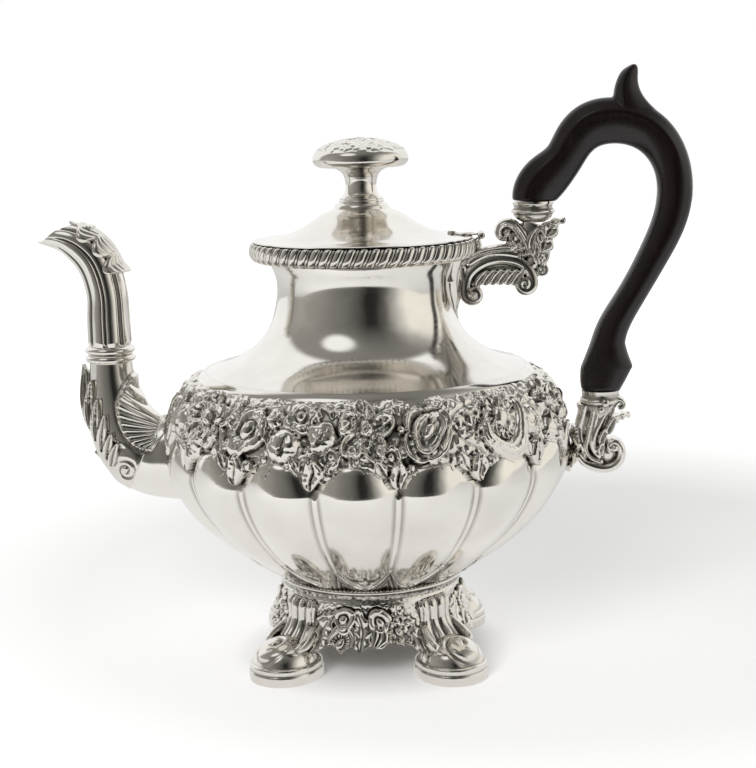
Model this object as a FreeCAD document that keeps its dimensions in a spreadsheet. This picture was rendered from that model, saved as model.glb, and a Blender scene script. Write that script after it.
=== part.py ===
"""Silver teapot on scroll feet, as separate pieces, in millimetres.

The origin is the pot's upright axis on the table. +Z is up, the spout points
along -X and the wooden handle stands on the +X side.
"""
import FreeCAD, Part
import Sketcher
import math
import os
import re

Vector = FreeCAD.Vector

# Driving sizes: one cell each, millimetres unless the name ends in count, turn or fullness.
SIZES = (
    # sheet metal and fits
    ("wall", 1.4),
    ("solder_gap", 0.1),
    ("pin_gap", 0.05),
    # lobed bowl
    ("foot_height", 36.5),
    ("bowl_rise", 51.5),
    ("bowl_radius", 83.3),
    ("bowl_depth", 61.0),
    ("bowl_fullness", 1.68),
    ("lobe_count", 16),
    ("lobe_depth", 3.2),
    ("strainer_radius", 9.5),
    ("strainer_pitch", 5.4),
    ("strainer_hole", 1.5),
    # floral belt
    ("belt_lap", 2.5),
    ("belt_rise", 30.0),
    ("belt_wall", 2.4),
    ("blossom_count", 12),
    ("blossom_radius", 8.6),
    ("blossom_height", 1.9),
    ("petal_count", 5),
    # shoulder, neck and rim
    ("shoulder_radius", 66.8),
    ("shoulder_step", 2.6),
    ("shoulder_rise", 34.4),
    ("waist_radius", 35.0),
    ("neck_rise", 19.6),
    ("mouth_radius", 37.6),
    ("rim_radius", 46.0),
    ("rim_height", 7.6),
    ("gadroon_count", 60),
    ("gadroon_depth", 1.1),
    ("gadroon_turn", 6.0),
    # lid and finial
    ("lid_gap", 0.35),
    ("lid_radius", 44.5),
    ("lid_edge", 0.9),
    ("lid_rise", 13.3),
    ("lid_wall", 1.3),
    ("crown_radius", 10.2),
    ("flange_gap", 0.45),
    ("flange_depth", 6.2),
    ("flange_wall", 1.2),
    ("stem_radius", 6.2),
    ("stem_height", 11.8),
    ("button_radius", 19.3),
    ("button_height", 15.5),
    ("stud_radius", 2.0),
    ("nut_radius", 4.6),
    ("nut_height", 4.0),
    # lid hinge
    ("hinge_offset", 1.9),
    ("knuckle_radius", 1.5),
    ("knuckle_length", 4.0),
    ("knuckle_gap", 0.15),
    ("hinge_pin_radius", 0.7),
    ("leaf_thickness", 1.1),
    ("leaf_length", 9.0),
    # spout
    ("spout_reach", 21.8),
    ("spout_rise", 36.0),
    ("spout_radius", 8.7),
    ("root_half_height", 18.0),
    ("root_half_width", 13.5),
    ("collar_length", 7.0),
    ("collar_bead", 1.6),
    ("beak_reach", 29.5),
    ("beak_rise", 43.0),
    ("flute_count", 10),
    ("flute_depth", 1.0),
    ("leaf_wall", 1.6),
    # handle and its sockets
    ("socket_reach", 22.7),
    ("socket_rise", 14.4),
    ("heel_reach", 12.2),
    ("heel_rise", 21.4),
    ("grip_width", 14.0),
    ("grip_ridge", 0.5),
    ("upper_ferrule_radius", 8.6),
    ("upper_ferrule_height", 8.5),
    ("lower_ferrule_radius", 8.2),
    ("lower_ferrule_height", 11.9),
    ("tenon_radius", 5.6),
    ("tenon_length", 6.0),
    ("handle_pin_radius", 1.2),
    ("bracket_width", 9.0),
    ("scroll_width", 11.5),
    ("pad_thickness", 4.2),
    ("pad_half_width", 8.0),
    # base ring, aprons and feet
    ("base_radius", 37.0),
    ("base_wall", 6.0),
    ("base_height", 5.5),
    ("apron_drop", 19.0),
    ("apron_flare", 6.0),
    ("apron_wall", 2.2),
    ("apron_relief", 1.6),
    ("foot_reach", 48.0),
    ("foot_radius", 14.0),
    ("foot_edge", 5.4),
    ("leg_half_width", 6.9),
    ("leg_half_depth", 3.1),
    ("leg_gap", 0.8),
    ("reed_count", 10),
    ("reed_depth", 0.6),
    ("volute_radius", 5.2),
    ("volute_width", 18.8),
)

doc = FreeCAD.newDocument("teapot")
sheet = doc.addObject("Spreadsheet::Sheet", "sizes")
for row, (alias, value) in enumerate(SIZES, start=1):
    sheet.set(f"A{row}", alias)
    sheet.set(f"B{row}", str(value))
    sheet.setAlias(f"B{row}", alias)
doc.recompute()

nodes = []

# Heights and distances that several pieces share, as sums of driving sizes.
FLOOR = "foot_height"
BELLY = f"{FLOOR} + bowl_rise"
BELT_FOOT = f"{BELLY} + belt_lap"
BELT_TOP = f"{BELLY} + belt_rise"
WAIST = f"{BELT_TOP} + shoulder_rise"
MOUTH = f"{WAIST} + neck_rise"
LID = f"{MOUTH} + lid_gap"
CROWN = f"{LID} + lid_rise"
STEM_FOOT = f"{CROWN} + solder_gap"
BUTTON_FOOT = f"{STEM_FOOT} + stem_height + solder_gap"
LEG_TOP = f"{FLOOR} - base_height"
COLLAR = f"{BELLY} + spout_rise"
SPOUT_X = "bowl_radius + spout_reach"
UPPER_X = "rim_radius + socket_reach"
UPPER_Z = f"{MOUTH} + socket_rise"
LOWER_X = "bowl_radius + heel_reach"
LOWER_Z = f"{BELLY} + heel_rise"
HINGE_X = "rim_radius + hinge_offset"
HINGE_Z = f"{LID} + lid_edge"


def bind(text):
    """Write an expression's size names as cells of the sheet."""
    return re.sub(r"[a-z][a-z0-9_]*", r"sizes.\g<0>", text)


def val(text):
    """Value of an expression of sizes."""
    return float(sheet.evalExpression(text))


def node(label, shape):
    """Keep a finished shape as a sub-part of its own."""
    item = doc.addObject("Part::Feature", label)
    item.Shape = shape
    nodes.append(item)
    return item


def pin_point(sketch, element, end, spot):
    """Hold one sketch point at the two expressions of its place."""
    for kind, text, axis in (("DistanceX", spot[0], -2), ("DistanceY", spot[1], -1)):
        distance = val(text)
        if abs(distance) < 1e-9:
            sketch.addConstraint(Sketcher.Constraint("PointOnObject", element, end, axis))
            continue
        index = sketch.addConstraint(Sketcher.Constraint(kind, -1, 1, element, end, distance))
        sketch.setExpression(f"Constraints[{index}]", bind(text))


def draw_outline(sketch, outline):
    """Draw a closed outline: a start point, then (end) for a line or (middle, end) for an arc.

    An arc that ends on the axis is a dome, so its centre lies on the axis.
    """
    start, *steps = outline
    if steps[-1][-1] != start:
        steps.append((start,))
    elements = []
    here = start
    for step in steps:
        first, *middle, last = [Vector(val(x), val(y), 0) for x, y in (here, *step)]
        curve = Part.Arc(first, middle[0], last) if middle else Part.LineSegment(first, last)
        element = sketch.addGeometry(curve, False)
        begins = 1 if (sketch.getPoint(element, 1) - first).Length < 1e-6 else 2
        elements.append((element, begins, here, step))
        here = step[-1]
    for index, (element, begins, spot, step) in enumerate(elements):
        follower, follower_begins = elements[(index + 1) % len(elements)][:2]
        joint = ("Coincident", element, 3 - begins, follower, follower_begins)
        sketch.addConstraint(Sketcher.Constraint(*joint))
        pin_point(sketch, element, begins, spot)
        if len(step) == 2 and step[-1][0] == "0":
            sketch.addConstraint(Sketcher.Constraint("PointOnObject", element, 3, -2))
        elif len(step) == 2:
            x, y = step[0]
            marker = sketch.addGeometry(Part.Point(Vector(val(x), val(y), 0)), True)
            pin_point(sketch, marker, 1, step[0])
            sketch.addConstraint(Sketcher.Constraint("PointOnObject", marker, 1, element))


def upright_sketch(body, name, outline):
    """Sketch on the body's own upright plane."""
    sketch = body.newObject("Sketcher::SketchObject", name)
    plane = next(item for item in body.Origin.OriginFeatures if item.Role == "XZ_Plane")
    sketch.AttachmentSupport = [(plane, "")]
    sketch.MapMode = "FlatFace"
    draw_outline(sketch, outline)
    return sketch


def turned(label, outline, axis_x="0", keep=True):
    """A piece turned from an outline of (radius, height) about the upright line at axis_x."""
    body = doc.addObject("PartDesign::Body", label)
    sketch = upright_sketch(body, f"{label}_outline", outline)
    turn = body.newObject("PartDesign::Revolution", f"{label}_turn")
    turn.Profile = sketch
    turn.ReferenceAxis = (sketch, ["V_Axis"])
    turn.Angle = 360
    if axis_x != "0":
        body.setExpression("Placement.Base.x", bind(axis_x))
    doc.recompute()
    if keep:
        nodes.append(body)
    return body


def plate(label, outline, width):
    """An upright plate of the given outline, centred on the pot's middle plane."""
    body = doc.addObject("PartDesign::Body", label)
    sketch = upright_sketch(body, f"{label}_outline", outline)
    pad = body.newObject("PartDesign::Pad", f"{label}_pad")
    pad.Profile = sketch
    pad.Midplane = True
    pad.setExpression("Length", bind(width))
    doc.recompute()
    return body


def bound(kind, label, **sizes):
    """A primitive whose properties are bound to expressions; dots in a name are written as __."""
    item = doc.addObject(kind, label)
    for name, text in sizes.items():
        item.setExpression(name.replace("__", "."), bind(text))
    return item


def drum(label, x, z, radius, length):
    """A round bar across the pot, centred on its middle plane."""
    item = bound(
        "Part::Cylinder", label, Radius=radius, Height=length,
        Placement__Base__x=x, Placement__Base__y=f"({length}) / 2", Placement__Base__z=z,
    )
    item.Placement.Rotation = FreeCAD.Rotation(Vector(1, 0, 0), 90)
    return item


def flat(centre, ahead, side):
    """Flat coordinates about a centre along two directions."""
    return lambda u, v: centre + ahead * u + side * v


def across(x, z, heading):
    """Flat coordinates on the plane square to a heading, in degrees, in the middle plane."""
    turn = math.radians(heading)
    return flat(Vector(x, 0, z), Vector(-math.sin(turn), 0, math.cos(turn)), Vector(0, 1, 0))


def level(z, x=0.0, y=0.0, turn=0.0):
    """Flat coordinates on a horizontal plane about a centre."""
    ahead = Vector(math.cos(turn), math.sin(turn), 0)
    return flat(Vector(x, y, z), ahead, Vector(-ahead.y, ahead.x, 0))


def lobed(place, depth, width, count, groove=0.0, turn=0.0):
    """Closed wire of arcs, one per lobe, on an oval of the two half sizes."""
    step = 2 * math.pi / count

    def spot(angle, inset):
        return place((depth - inset) * math.cos(angle), (width - inset) * math.sin(angle))

    edges = []
    for index in range(count):
        middle = index * step + turn
        ends = (middle - step / 2, middle + step / 2)
        arc = Part.Arc(spot(ends[0], groove), spot(middle, 0), spot(ends[1], groove))
        edges.append(arc.toShape())
    return Part.Wire(edges)


def loft(wires):
    """Smooth solid through closed wires."""
    return Part.makeLoft(wires, True, False)


def outermost(shape, direction):
    """The solid that lies furthest along a direction, left after a cut."""
    return max(shape.Solids, key=lambda solid: solid.CenterOfMass.dot(direction))


def face_radius(shape, height):
    """Radius of a turned shape's outer face at a height, on the handle side."""
    ray = Part.makeLine(Vector(0, 0, height), Vector(val("bowl_radius") * 2, 0, height))
    return max(vertex.Point.x for vertex in ray.common(shape).Vertexes)


def rosette(spot, outward, along, size, petals, cut, low, high):
    """Stepped boss on a face, between two heights over it, with its edge cut into petals."""
    upward = outward.cross(along)
    rings = []
    for rise, share in ((0, 1), (0.35, 1), (1, 0.5)):
        place = flat(spot + outward * (low + (high - low) * rise), along, upward)
        radius = size * share
        rings.append(lobed(place, radius, radius, petals, radius * cut, math.pi / 2))
    return Part.makeLoft(rings, True, True)


def bowl_crest(height):
    """Radius of the lobes' crests at a height: a full curve below the belly, upright above it."""
    fullness = val("bowl_fullness")
    drop = max(0.0, val(BELLY) - height) / val("bowl_depth")
    return val("bowl_radius") * (1 - drop ** fullness) ** (1 / fullness)


def bowl_form(inset, low, high, levels=5):
    """The lobed melon form between two heights, drawn in by inset square to its face."""
    nudge = 0.01
    wires = []
    for index in range(levels + 1):
        height = low + (high - low) * index / levels
        radius = bowl_crest(height)
        slope = (bowl_crest(height + nudge) - radius) / nudge
        radius -= inset * math.hypot(1, slope)
        groove = val("lobe_depth") * radius / val("bowl_radius")
        wires.append(lobed(level(height), radius, radius, int(val("lobe_count")), groove))
    return loft(wires)


def make_bowl():
    """Lobed bowl with a flat floor, pierced behind the spout with strainer holes."""
    floor = val(FLOOR)
    top = val(BELT_FOOT)
    wall = val("wall")
    shell = bowl_form(0, floor, top).cut(bowl_form(wall, floor + wall, top + wall))
    pitch = val("strainer_pitch")
    centre = Vector(-val("bowl_radius") - wall, 0, val(BELLY) - val("spout_rise") * 0.1)
    reach = int(val("strainer_radius") / pitch) + 1
    hole = Part.makeCylinder(val("strainer_hole"), val("strainer_radius") + wall, centre, Vector(1, 0, 0))
    holes = []
    for row in range(-reach, reach + 1):
        for column in range(-reach, reach + 1):
            offset = Vector(0, (column + 0.5 * (row % 2)) * pitch, row * pitch * math.sqrt(3) / 2)
            if offset.Length < val("strainer_radius"):
                holes.append(hole.translated(offset))
    return node("bowl", shell.cut(holes))


def make_belt():
    """Embossed belt and the five-petalled blossoms that stand on it."""
    lip = "shoulder_radius + solder_gap"
    swell = "shoulder_radius * 0.22 + bowl_radius * 0.78"
    middle = f"{BELLY} + belt_rise * 0.68"
    seat = "bowl_radius - belt_wall"
    belt = turned("floral_belt", [
        (seat, BELT_FOOT),
        (("bowl_radius - wall / 2", BELT_FOOT),),
        ((swell, middle), (f"{lip} + wall", BELT_TOP)),
        ((lip, BELT_TOP),),
        ((lip, f"{BELT_TOP} - belt_wall"),),
        ((f"{swell} - belt_wall", f"{middle} - belt_wall / 2"), (seat, BELT_FOOT)),
    ])
    count = int(val("blossom_count"))
    petals = int(val("petal_count"))
    centre_z = val(f"{BELLY} + belt_rise * 0.52")
    nudge = 0.5
    low = val("solder_gap")
    high = val("solder_gap + blossom_height")
    small = 0.78
    seat_radius = face_radius(belt.Shape, centre_z)
    fall = face_radius(belt.Shape, centre_z - nudge) - face_radius(belt.Shape, centre_z + nudge)
    lean = math.atan(fall / (2 * nudge))
    flowers = []
    for index in range(count):
        facing = FreeCAD.Rotation(Vector(0, 0, 1), 360 * (index + 0.5) / count)
        outward = facing.multVec(Vector(math.cos(lean), 0, math.sin(lean)))
        along = facing.multVec(Vector(0, 1, 0))
        spot = facing.multVec(Vector(seat_radius, 0, centre_z))
        size = val("blossom_radius") * (1 if index % 2 else small)
        flowers.append(rosette(spot, outward, along, size, petals, 0.24, low, high))
    node("belt_blossoms", Part.makeCompound(flowers))
    return belt


def make_neck():
    """Shoulder and neck of one raised sheet, from the step above the belt to the mouth."""
    flat = "shoulder_radius - waist_radius"
    edge_z = f"{BELT_TOP} + shoulder_step"
    steep = "shoulder_rise - shoulder_step"
    mouth_bore = "mouth_radius - wall"
    outline = [
        ("shoulder_radius - wall", BELT_TOP),
        (("shoulder_radius", BELT_TOP),),
        (("shoulder_radius", edge_z),),
        ((f"waist_radius + ({flat}) * 0.62", f"{edge_z} + ({steep}) * 0.12"),
         (f"waist_radius + ({flat}) * 0.28", f"{edge_z} + ({steep}) * 0.33")),
        ((f"waist_radius + ({flat}) * 0.145", f"{edge_z} + ({steep}) * 0.49"),
         (f"waist_radius + ({flat}) * 0.07", f"{edge_z} + ({steep}) * 0.65")),
        ((f"waist_radius + ({flat}) * 0.02", f"{edge_z} + ({steep}) * 0.85"), ("waist_radius", WAIST)),
        (("waist_radius * 0.75 + mouth_radius * 0.25", f"{WAIST} + neck_rise * 0.32"),
         ("mouth_radius", f"{MOUTH} - rim_height")),
        (("mouth_radius", f"{MOUTH} - lid_gap"),),
        ((mouth_bore, f"{MOUTH} - lid_gap"),),
        ((mouth_bore, f"{MOUTH} - rim_height"),),
        (("waist_radius * 0.75 + mouth_radius * 0.25 - wall", f"{WAIST} + neck_rise * 0.32"),
         ("waist_radius - wall", WAIST)),
        ((f"waist_radius + ({flat}) * 0.02 - wall", f"{edge_z} + ({steep}) * 0.85"),
         (f"waist_radius + ({flat}) * 0.07 - wall", f"{edge_z} + ({steep}) * 0.65 - wall * 0.3")),
        ((f"waist_radius + ({flat}) * 0.145 - wall * 0.85", f"{edge_z} + ({steep}) * 0.49 - wall * 0.55"),
         (f"waist_radius + ({flat}) * 0.28 - wall * 0.65", f"{edge_z} + ({steep}) * 0.33 - wall * 0.8")),
        ((f"waist_radius + ({flat}) * 0.62 - wall * 0.4", f"{edge_z} + ({steep}) * 0.12 - wall"),
         ("shoulder_radius - wall", f"{edge_z} - wall")),
    ]
    return turned("shoulder_neck", outline)


def make_rim():
    """Gadrooned rim: a half-round ring of slanted lobes round the mouth."""
    count = int(val("gadroon_count"))
    turn = math.radians(val("gadroon_turn"))
    height = val("rim_height")
    bulge = val("rim_radius - mouth_radius")
    wires = []
    for share, swell in ((0, 0.58), (0.25, 0.9), (0.5, 1.0), (0.78, 0.94), (1, 0.8)):
        radius = val("mouth_radius") + bulge * swell
        place = level(val(MOUTH) - height * (1 - share), turn=turn * share)
        wires.append(lobed(place, radius, radius, count, val("gadroon_depth")))
    bore = Part.makeCylinder(
        val("mouth_radius + solder_gap"), height * 3, Vector(0, 0, val(MOUTH) - height * 2))
    return node("rim_gadroon", loft(wires).cut(bore))


def make_lid():
    """Concave domed lid, its flange, and the finial held by a stud and nut."""
    slope = "lid_radius - crown_radius"
    hole = "stud_radius + solder_gap"
    dome = turned("lid_dome", [
        (hole, f"{CROWN} - lid_wall"),
        (("crown_radius - lid_wall / 2", f"{CROWN} - lid_wall"),),
        ((f"crown_radius + ({slope}) * 0.11", f"{LID} + lid_rise * 0.72"),
         (f"crown_radius + ({slope}) * 0.3", f"{LID} + lid_rise * 0.45")),
        ((f"crown_radius + ({slope}) * 0.6", f"{LID} + lid_rise * 0.13"),
         ("lid_radius - lid_rise * 0.3", LID)),
        (("lid_radius", LID),),
        (("lid_radius", f"{LID} + lid_edge"),),
        ((f"crown_radius + ({slope}) * 0.62", f"{LID} + lid_rise * 0.22"),
         (f"crown_radius + ({slope}) * 0.32", f"{LID} + lid_rise * 0.55")),
        ((f"crown_radius + ({slope}) * 0.14", f"{LID} + lid_rise * 0.81"), ("crown_radius", CROWN)),
        ((hole, CROWN),),
    ])
    flange = "mouth_radius - wall - flange_gap"
    turned("lid_flange", [
        (f"{flange} - flange_wall", f"{LID} - flange_depth"),
        ((flange, f"{LID} - flange_depth"),),
        ((flange, f"{LID} + lid_edge / 2"),),
        ((f"{flange} - flange_wall", f"{LID} + lid_edge / 2"),),
    ])
    turned("finial_stem", [
        (hole, STEM_FOOT),
        (("crown_radius", STEM_FOOT),),
        (("crown_radius", f"{STEM_FOOT} + stem_height * 0.1"),),
        (("stem_radius + solder_gap", f"{STEM_FOOT} + stem_height * 0.24"),
         ("stem_radius", f"{STEM_FOOT} + stem_height * 0.45")),
        (("stem_radius", f"{STEM_FOOT} + stem_height"),),
        ((hole, f"{STEM_FOOT} + stem_height"),),
    ])
    turned("finial_button", [
        ("stem_radius", BUTTON_FOOT),
        (("button_radius * 0.5", f"{BUTTON_FOOT} + button_height * 0.2"),
         ("button_radius * 0.82", f"{BUTTON_FOOT} + button_height * 0.34")),
        (("button_radius * 0.95", f"{BUTTON_FOOT} + button_height * 0.4"),
         ("button_radius", f"{BUTTON_FOOT} + button_height * 0.48")),
        (("button_radius * 0.99", f"{BUTTON_FOOT} + button_height * 0.56"),
         ("button_radius * 0.94", f"{BUTTON_FOOT} + button_height * 0.62")),
        (("button_radius * 0.55", f"{BUTTON_FOOT} + button_height * 0.88"),
         ("0", f"{BUTTON_FOOT} + button_height")),
        (("0", f"{BUTTON_FOOT} + button_height * 0.4"),),
        ((hole, f"{BUTTON_FOOT} + button_height * 0.4"),),
        ((hole, BUTTON_FOOT),),
    ])
    stud_foot = f"{CROWN} - lid_wall - nut_height - stud_radius"
    nodes.append(bound(
        "Part::Cylinder", "finial_stud", Radius="stud_radius",
        Height=f"{BUTTON_FOOT} + button_height * 0.38 - ({stud_foot})", Placement__Base__z=stud_foot))
    hexagon = bound(
        "Part::Prism", "nut_blank", Circumradius="nut_radius", Height="nut_height",
        Placement__Base__z=f"{CROWN} - lid_wall - nut_height - solder_gap")
    hexagon.Polygon = 6
    tapping = bound(
        "Part::Cylinder", "nut_tapping", Radius="stud_radius + pin_gap", Height="nut_height * 3",
        Placement__Base__z=f"{CROWN} - lid_wall - nut_height * 2")
    nut = doc.addObject("Part::Cut", "finial_nut")
    nut.Base = hexagon
    nut.Tool = tapping
    nodes.append(nut)
    return dome


def make_hinge(lid_dome):
    """Five-part lid hinge: a leaf with two knuckles on the rim, a leaf with one on the lid, a pin."""
    inner = "knuckle_length / 2 + knuckle_gap"
    outer = f"{inner} + knuckle_length"
    bore = drum("hinge_bore", HINGE_X, HINGE_Z, "hinge_pin_radius + pin_gap", f"4 * ({outer})")
    nodes.append(drum("hinge_pin", HINGE_X, HINGE_Z, "hinge_pin_radius", f"2 * ({outer})"))

    strap = bound(
        "Part::Box", "body_strap", Length="leaf_thickness", Width=f"2 * ({outer})", Height="rim_height",
        Placement__Base__x=f"{HINGE_X} - hinge_offset + lid_gap", Placement__Base__y=f"0 - ({outer})",
        Placement__Base__z=f"{HINGE_Z} - rim_height")
    barrel = drum("body_barrel", HINGE_X, HINGE_Z, "knuckle_radius", f"2 * ({outer})")
    slot = bound(
        "Part::Box", "body_slot", Length="6 * knuckle_radius", Width=f"2 * ({inner})",
        Height="4 * knuckle_radius",
        Placement__Base__x=f"{HINGE_X} - 3 * knuckle_radius", Placement__Base__y=f"0 - ({inner})",
        Placement__Base__z=f"{HINGE_Z} - knuckle_radius - knuckle_gap")
    body_solid = doc.addObject("Part::Fuse", "body_leaf_solid")
    body_solid.Base = strap
    body_solid.Tool = barrel
    slotted = doc.addObject("Part::Cut", "body_leaf_slotted")
    slotted.Base = body_solid
    slotted.Tool = slot
    body_leaf = doc.addObject("Part::Cut", "hinge_body_leaf")
    body_leaf.Base = slotted
    body_leaf.Tool = bore
    nodes.append(body_leaf)

    top = f"{HINGE_Z} + knuckle_radius"
    tongue = bound(
        "Part::Box", "lid_tongue", Length="leaf_length", Width="knuckle_length", Height="leaf_thickness",
        Placement__Base__x=f"{HINGE_X} - leaf_length", Placement__Base__y="0 - knuckle_length / 2",
        Placement__Base__z=f"{top} - leaf_thickness")
    spread = bound(
        "Part::Cylinder", "lid_leaf_spread", Radius="leaf_length * 0.55", Height="leaf_thickness",
        Placement__Base__x=f"{HINGE_X} - hinge_offset * 2 - leaf_length * 0.6",
        Placement__Base__z=f"{top} - leaf_thickness")
    knuckle = drum("lid_barrel", HINGE_X, HINGE_Z, "knuckle_radius", "knuckle_length")
    lid_solid = doc.addObject("Part::MultiFuse", "lid_leaf_solid")
    lid_solid.Shapes = [tongue, spread, knuckle]
    lid_bore = drum("lid_hinge_bore", HINGE_X, HINGE_Z, "hinge_pin_radius + pin_gap", f"4 * ({outer})")
    bored = doc.addObject("Part::Cut", "lid_leaf_bored")
    bored.Base = lid_solid
    bored.Tool = lid_bore
    dome_face = doc.addObject("Part::Compound", "dome_with_gap")
    dome_face.Links = [lid_dome]
    dome_face.setExpression("Placement.Base.z", bind("solder_gap"))
    lid_leaf = doc.addObject("Part::Cut", "hinge_lid_leaf")
    lid_leaf.Base = bored
    lid_leaf.Tool = dome_face
    nodes.append(lid_leaf)


# Spout root: share of the reach, share of the rise, heading, share of the taper left.
ROOT_LINE = (
    (-0.45, -0.15, 180, 1.0),
    (0.31, -0.11, 168, 0.84),
    (0.74, 0.17, 128, 0.66),
    (0.955, 0.555, 100, 0.25),
    (1.0, 1.0, 90, 0.0),
)
# Beak: share of the reach, share of the rise, heading, shares of the radius in depth and width.
BEAK_LINE = (
    (0.0, 0.0, 90, 1.0, 1.0),
    (0.0, 0.28, 92, 0.99, 0.99),
    (0.035, 0.58, 100, 1.07, 1.03),
    (0.19, 0.84, 127, 1.08, 1.01),
    (0.475, 0.985, 150, 0.83, 0.92),
    (0.85, 1.09, 162, 0.52, 0.71),
    (1.05, 1.13, 165, 0.42, 0.6),
)


def root_form(grow):
    """Oval root of the spout, grown by the given thickness."""
    wires = []
    for out, up, heading, taper in ROOT_LINE:
        x = -val("bowl_radius") - val("spout_reach") * out
        z = val(BELLY) + val("spout_rise") * up
        depth = val(f"spout_radius + {taper} * (root_half_height - spout_radius)") + grow
        width = val(f"spout_radius + {taper} * (root_half_width - spout_radius)") + grow
        wires.append(lobed(across(x, z, heading), depth, width, 8))
    return loft(wires)


def beak_form(grow, groove):
    """Beak of the spout, grown by the given thickness, with flutes of the given depth."""
    wires = []
    for out, up, heading, depth, width in BEAK_LINE:
        x = -val(SPOUT_X) - val("beak_reach") * out
        z = val(f"{COLLAR} + collar_length") + val("beak_rise") * up
        half_depth = val("spout_radius") * depth + grow
        half_width = val("spout_radius") * width + grow
        wires.append(lobed(across(x, z, heading), half_depth, half_width, int(val("flute_count")), groove))
    return loft(wires)


def side_block(points, half_width):
    """Upright block of a straight-sided outline in the middle plane."""
    corners = [Vector(x, -half_width, z) for x, z in points]
    face = Part.Face(Part.makePolygon(corners + corners[:1]))
    return face.extrude(Vector(0, 2 * half_width, 0))


def make_spout():
    """Hollow root, double-ring collar and fluted beak, with the two leaves that clasp them."""
    wall = val("wall")
    gap = val("solder_gap")
    bowl_solid = bowl_form(-gap, val(FLOOR), val(BELT_FOOT) + wall)
    belt_guard = Part.makeCylinder(val("bowl_radius"), val("belt_rise"), Vector(0, 0, val(BELT_FOOT)))
    root = root_form(0).cut(root_form(-wall)).cut([bowl_solid, belt_guard])
    node("spout_root", outermost(root, Vector(-1, 0, 0)))

    bore = "spout_radius - wall"
    ring = "spout_radius + collar_bead"
    turned("spout_collar", [
        (bore, COLLAR),
        (("spout_radius", COLLAR),),
        ((ring, f"{COLLAR} + collar_length * 0.25"), ("spout_radius", f"{COLLAR} + collar_length * 0.5")),
        ((ring, f"{COLLAR} + collar_length * 0.75"), ("spout_radius", f"{COLLAR} + collar_length")),
        ((bore, f"{COLLAR} + collar_length"),),
    ], axis_x=f"0 - ({SPOUT_X})")

    reach = val("beak_reach")
    rise = val("beak_rise")
    foot_x = -val(SPOUT_X)
    foot_z = val(f"{COLLAR} + collar_length")

    def beak_point(out, up):
        return foot_x - reach * out, foot_z + rise * up

    mouth = side_block(
        [beak_point(0.38, 1.14), beak_point(1.0, 1.0), beak_point(1.6, 0.86), beak_point(1.6, 2),
         beak_point(0.38, 2)],
        val("root_half_width"))
    beak = beak_form(0, val("flute_depth")).cut(beak_form(-wall - val("flute_depth"), 0)).cut(mouth)
    node("spout_beak", beak)

    def root_point(out, up):
        return -val("bowl_radius") - val("spout_reach") * out, val(BELLY) + val("spout_rise") * up

    leaf_wall = val("leaf_wall")
    sheath_side = side_block(
        [root_point(1.12, 0.93), root_point(1.9, 0.93), root_point(1.9, 0.1), root_point(1.2, -0.45),
         root_point(0.5, -0.65), root_point(0.42, -0.42), root_point(0.8, -0.16), root_point(1.0, 0.25)],
        val("root_half_width") * 2)
    sheath = root_form(gap + leaf_wall).cut(root_form(gap)).common(sheath_side)
    node("spout_sheath_leaf", sheath)

    crest_side = side_block(
        [beak_point(-0.4, 0.5), beak_point(-0.15, 0.62), beak_point(0.05, 0.85), beak_point(0.22, 1.0),
         beak_point(0.36, 1.06), beak_point(0.36, 1.3), beak_point(-0.4, 1.3)],
        val("root_half_width") * 2)
    crest = beak_form(gap + leaf_wall, 0).cut(beak_form(gap, 0)).common(crest_side)
    node("spout_crest_leaf", crest)


# Grip: offset from its socket, heading, half depth. The first rows go with the upper socket.
GRIP_UPPER = (
    (0.0, 0.0, 90, 8.4),
    (1.5, 4.6, 80, 9.1),
    (5.4, 9.2, 58, 9.4),
    (12.8, 16.9, 52, 7.8),
    (18.8, 26.3, 45, 9.0),
    (28.6, 30.8, 6, 9.0),
    (46.0, 26.2, -40, 8.3),
    (55.2, 12.4, -74, 7.2),
)
GRIP_LOWER = (
    (28.6, 72.4, -102, 6.8),
    (21.5, 55.1, -117, 6.0),
    (10.9, 36.2, -119, 5.6),
    (3.6, 21.0, -103, 6.5),
    (2.3, 10.5, -91, 9.6),
    (0.0, 0.0, -90, 7.9),
)
# Thumb rest: offset from the upper socket, half sizes along and across the grip.
THUMB_REST = (
    (39.2, 33.0, 9.2, 5.8),
    (37.4, 41.0, 5.8, 5.0),
    (37.4, 47.6, 4.2, 4.2),
    (39.8, 52.9, 1.4, 1.9),
)


def make_grip():
    """Carved wooden grip: softly ridged section, thumb rest on top, a tenon at each end."""
    half_width = val("grip_width") / 2
    upper = (val(UPPER_X), val(UPPER_Z))
    lower = (val(LOWER_X), val(LOWER_Z))
    wires = []
    for (socket_x, socket_z), rows in ((upper, GRIP_UPPER), (lower, GRIP_LOWER)):
        for out, up, heading, depth in rows:
            place = across(socket_x + out, socket_z + up, heading)
            wires.append(lobed(place, depth, half_width, 8, val("grip_ridge") * 0.3, math.pi / 8))
    grip = loft(wires)
    rest = []
    for out, up, along, side in THUMB_REST:
        rest.append(lobed(level(upper[1] + up, upper[0] + out), along, side, 8))
    length = val("tenon_length")
    overlap = 1.0
    tenon = Part.makeCylinder(val("tenon_radius"), length + overlap, Vector(0, 0, -length))
    hole_start = Vector(0, -2 * half_width, -length / 2)
    hole = Part.makeCylinder(val("handle_pin_radius + pin_gap"), 4 * half_width, hole_start, Vector(0, 1, 0))
    tenons = [tenon.translated(Vector(x, 0, z)) for x, z in (upper, lower)]
    holes = [hole.translated(Vector(x, 0, z)) for x, z in (upper, lower)]
    solid = grip.fuse([loft(rest)] + tenons).removeSplitter().cut(holes)
    return node("handle_grip", solid)


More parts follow.
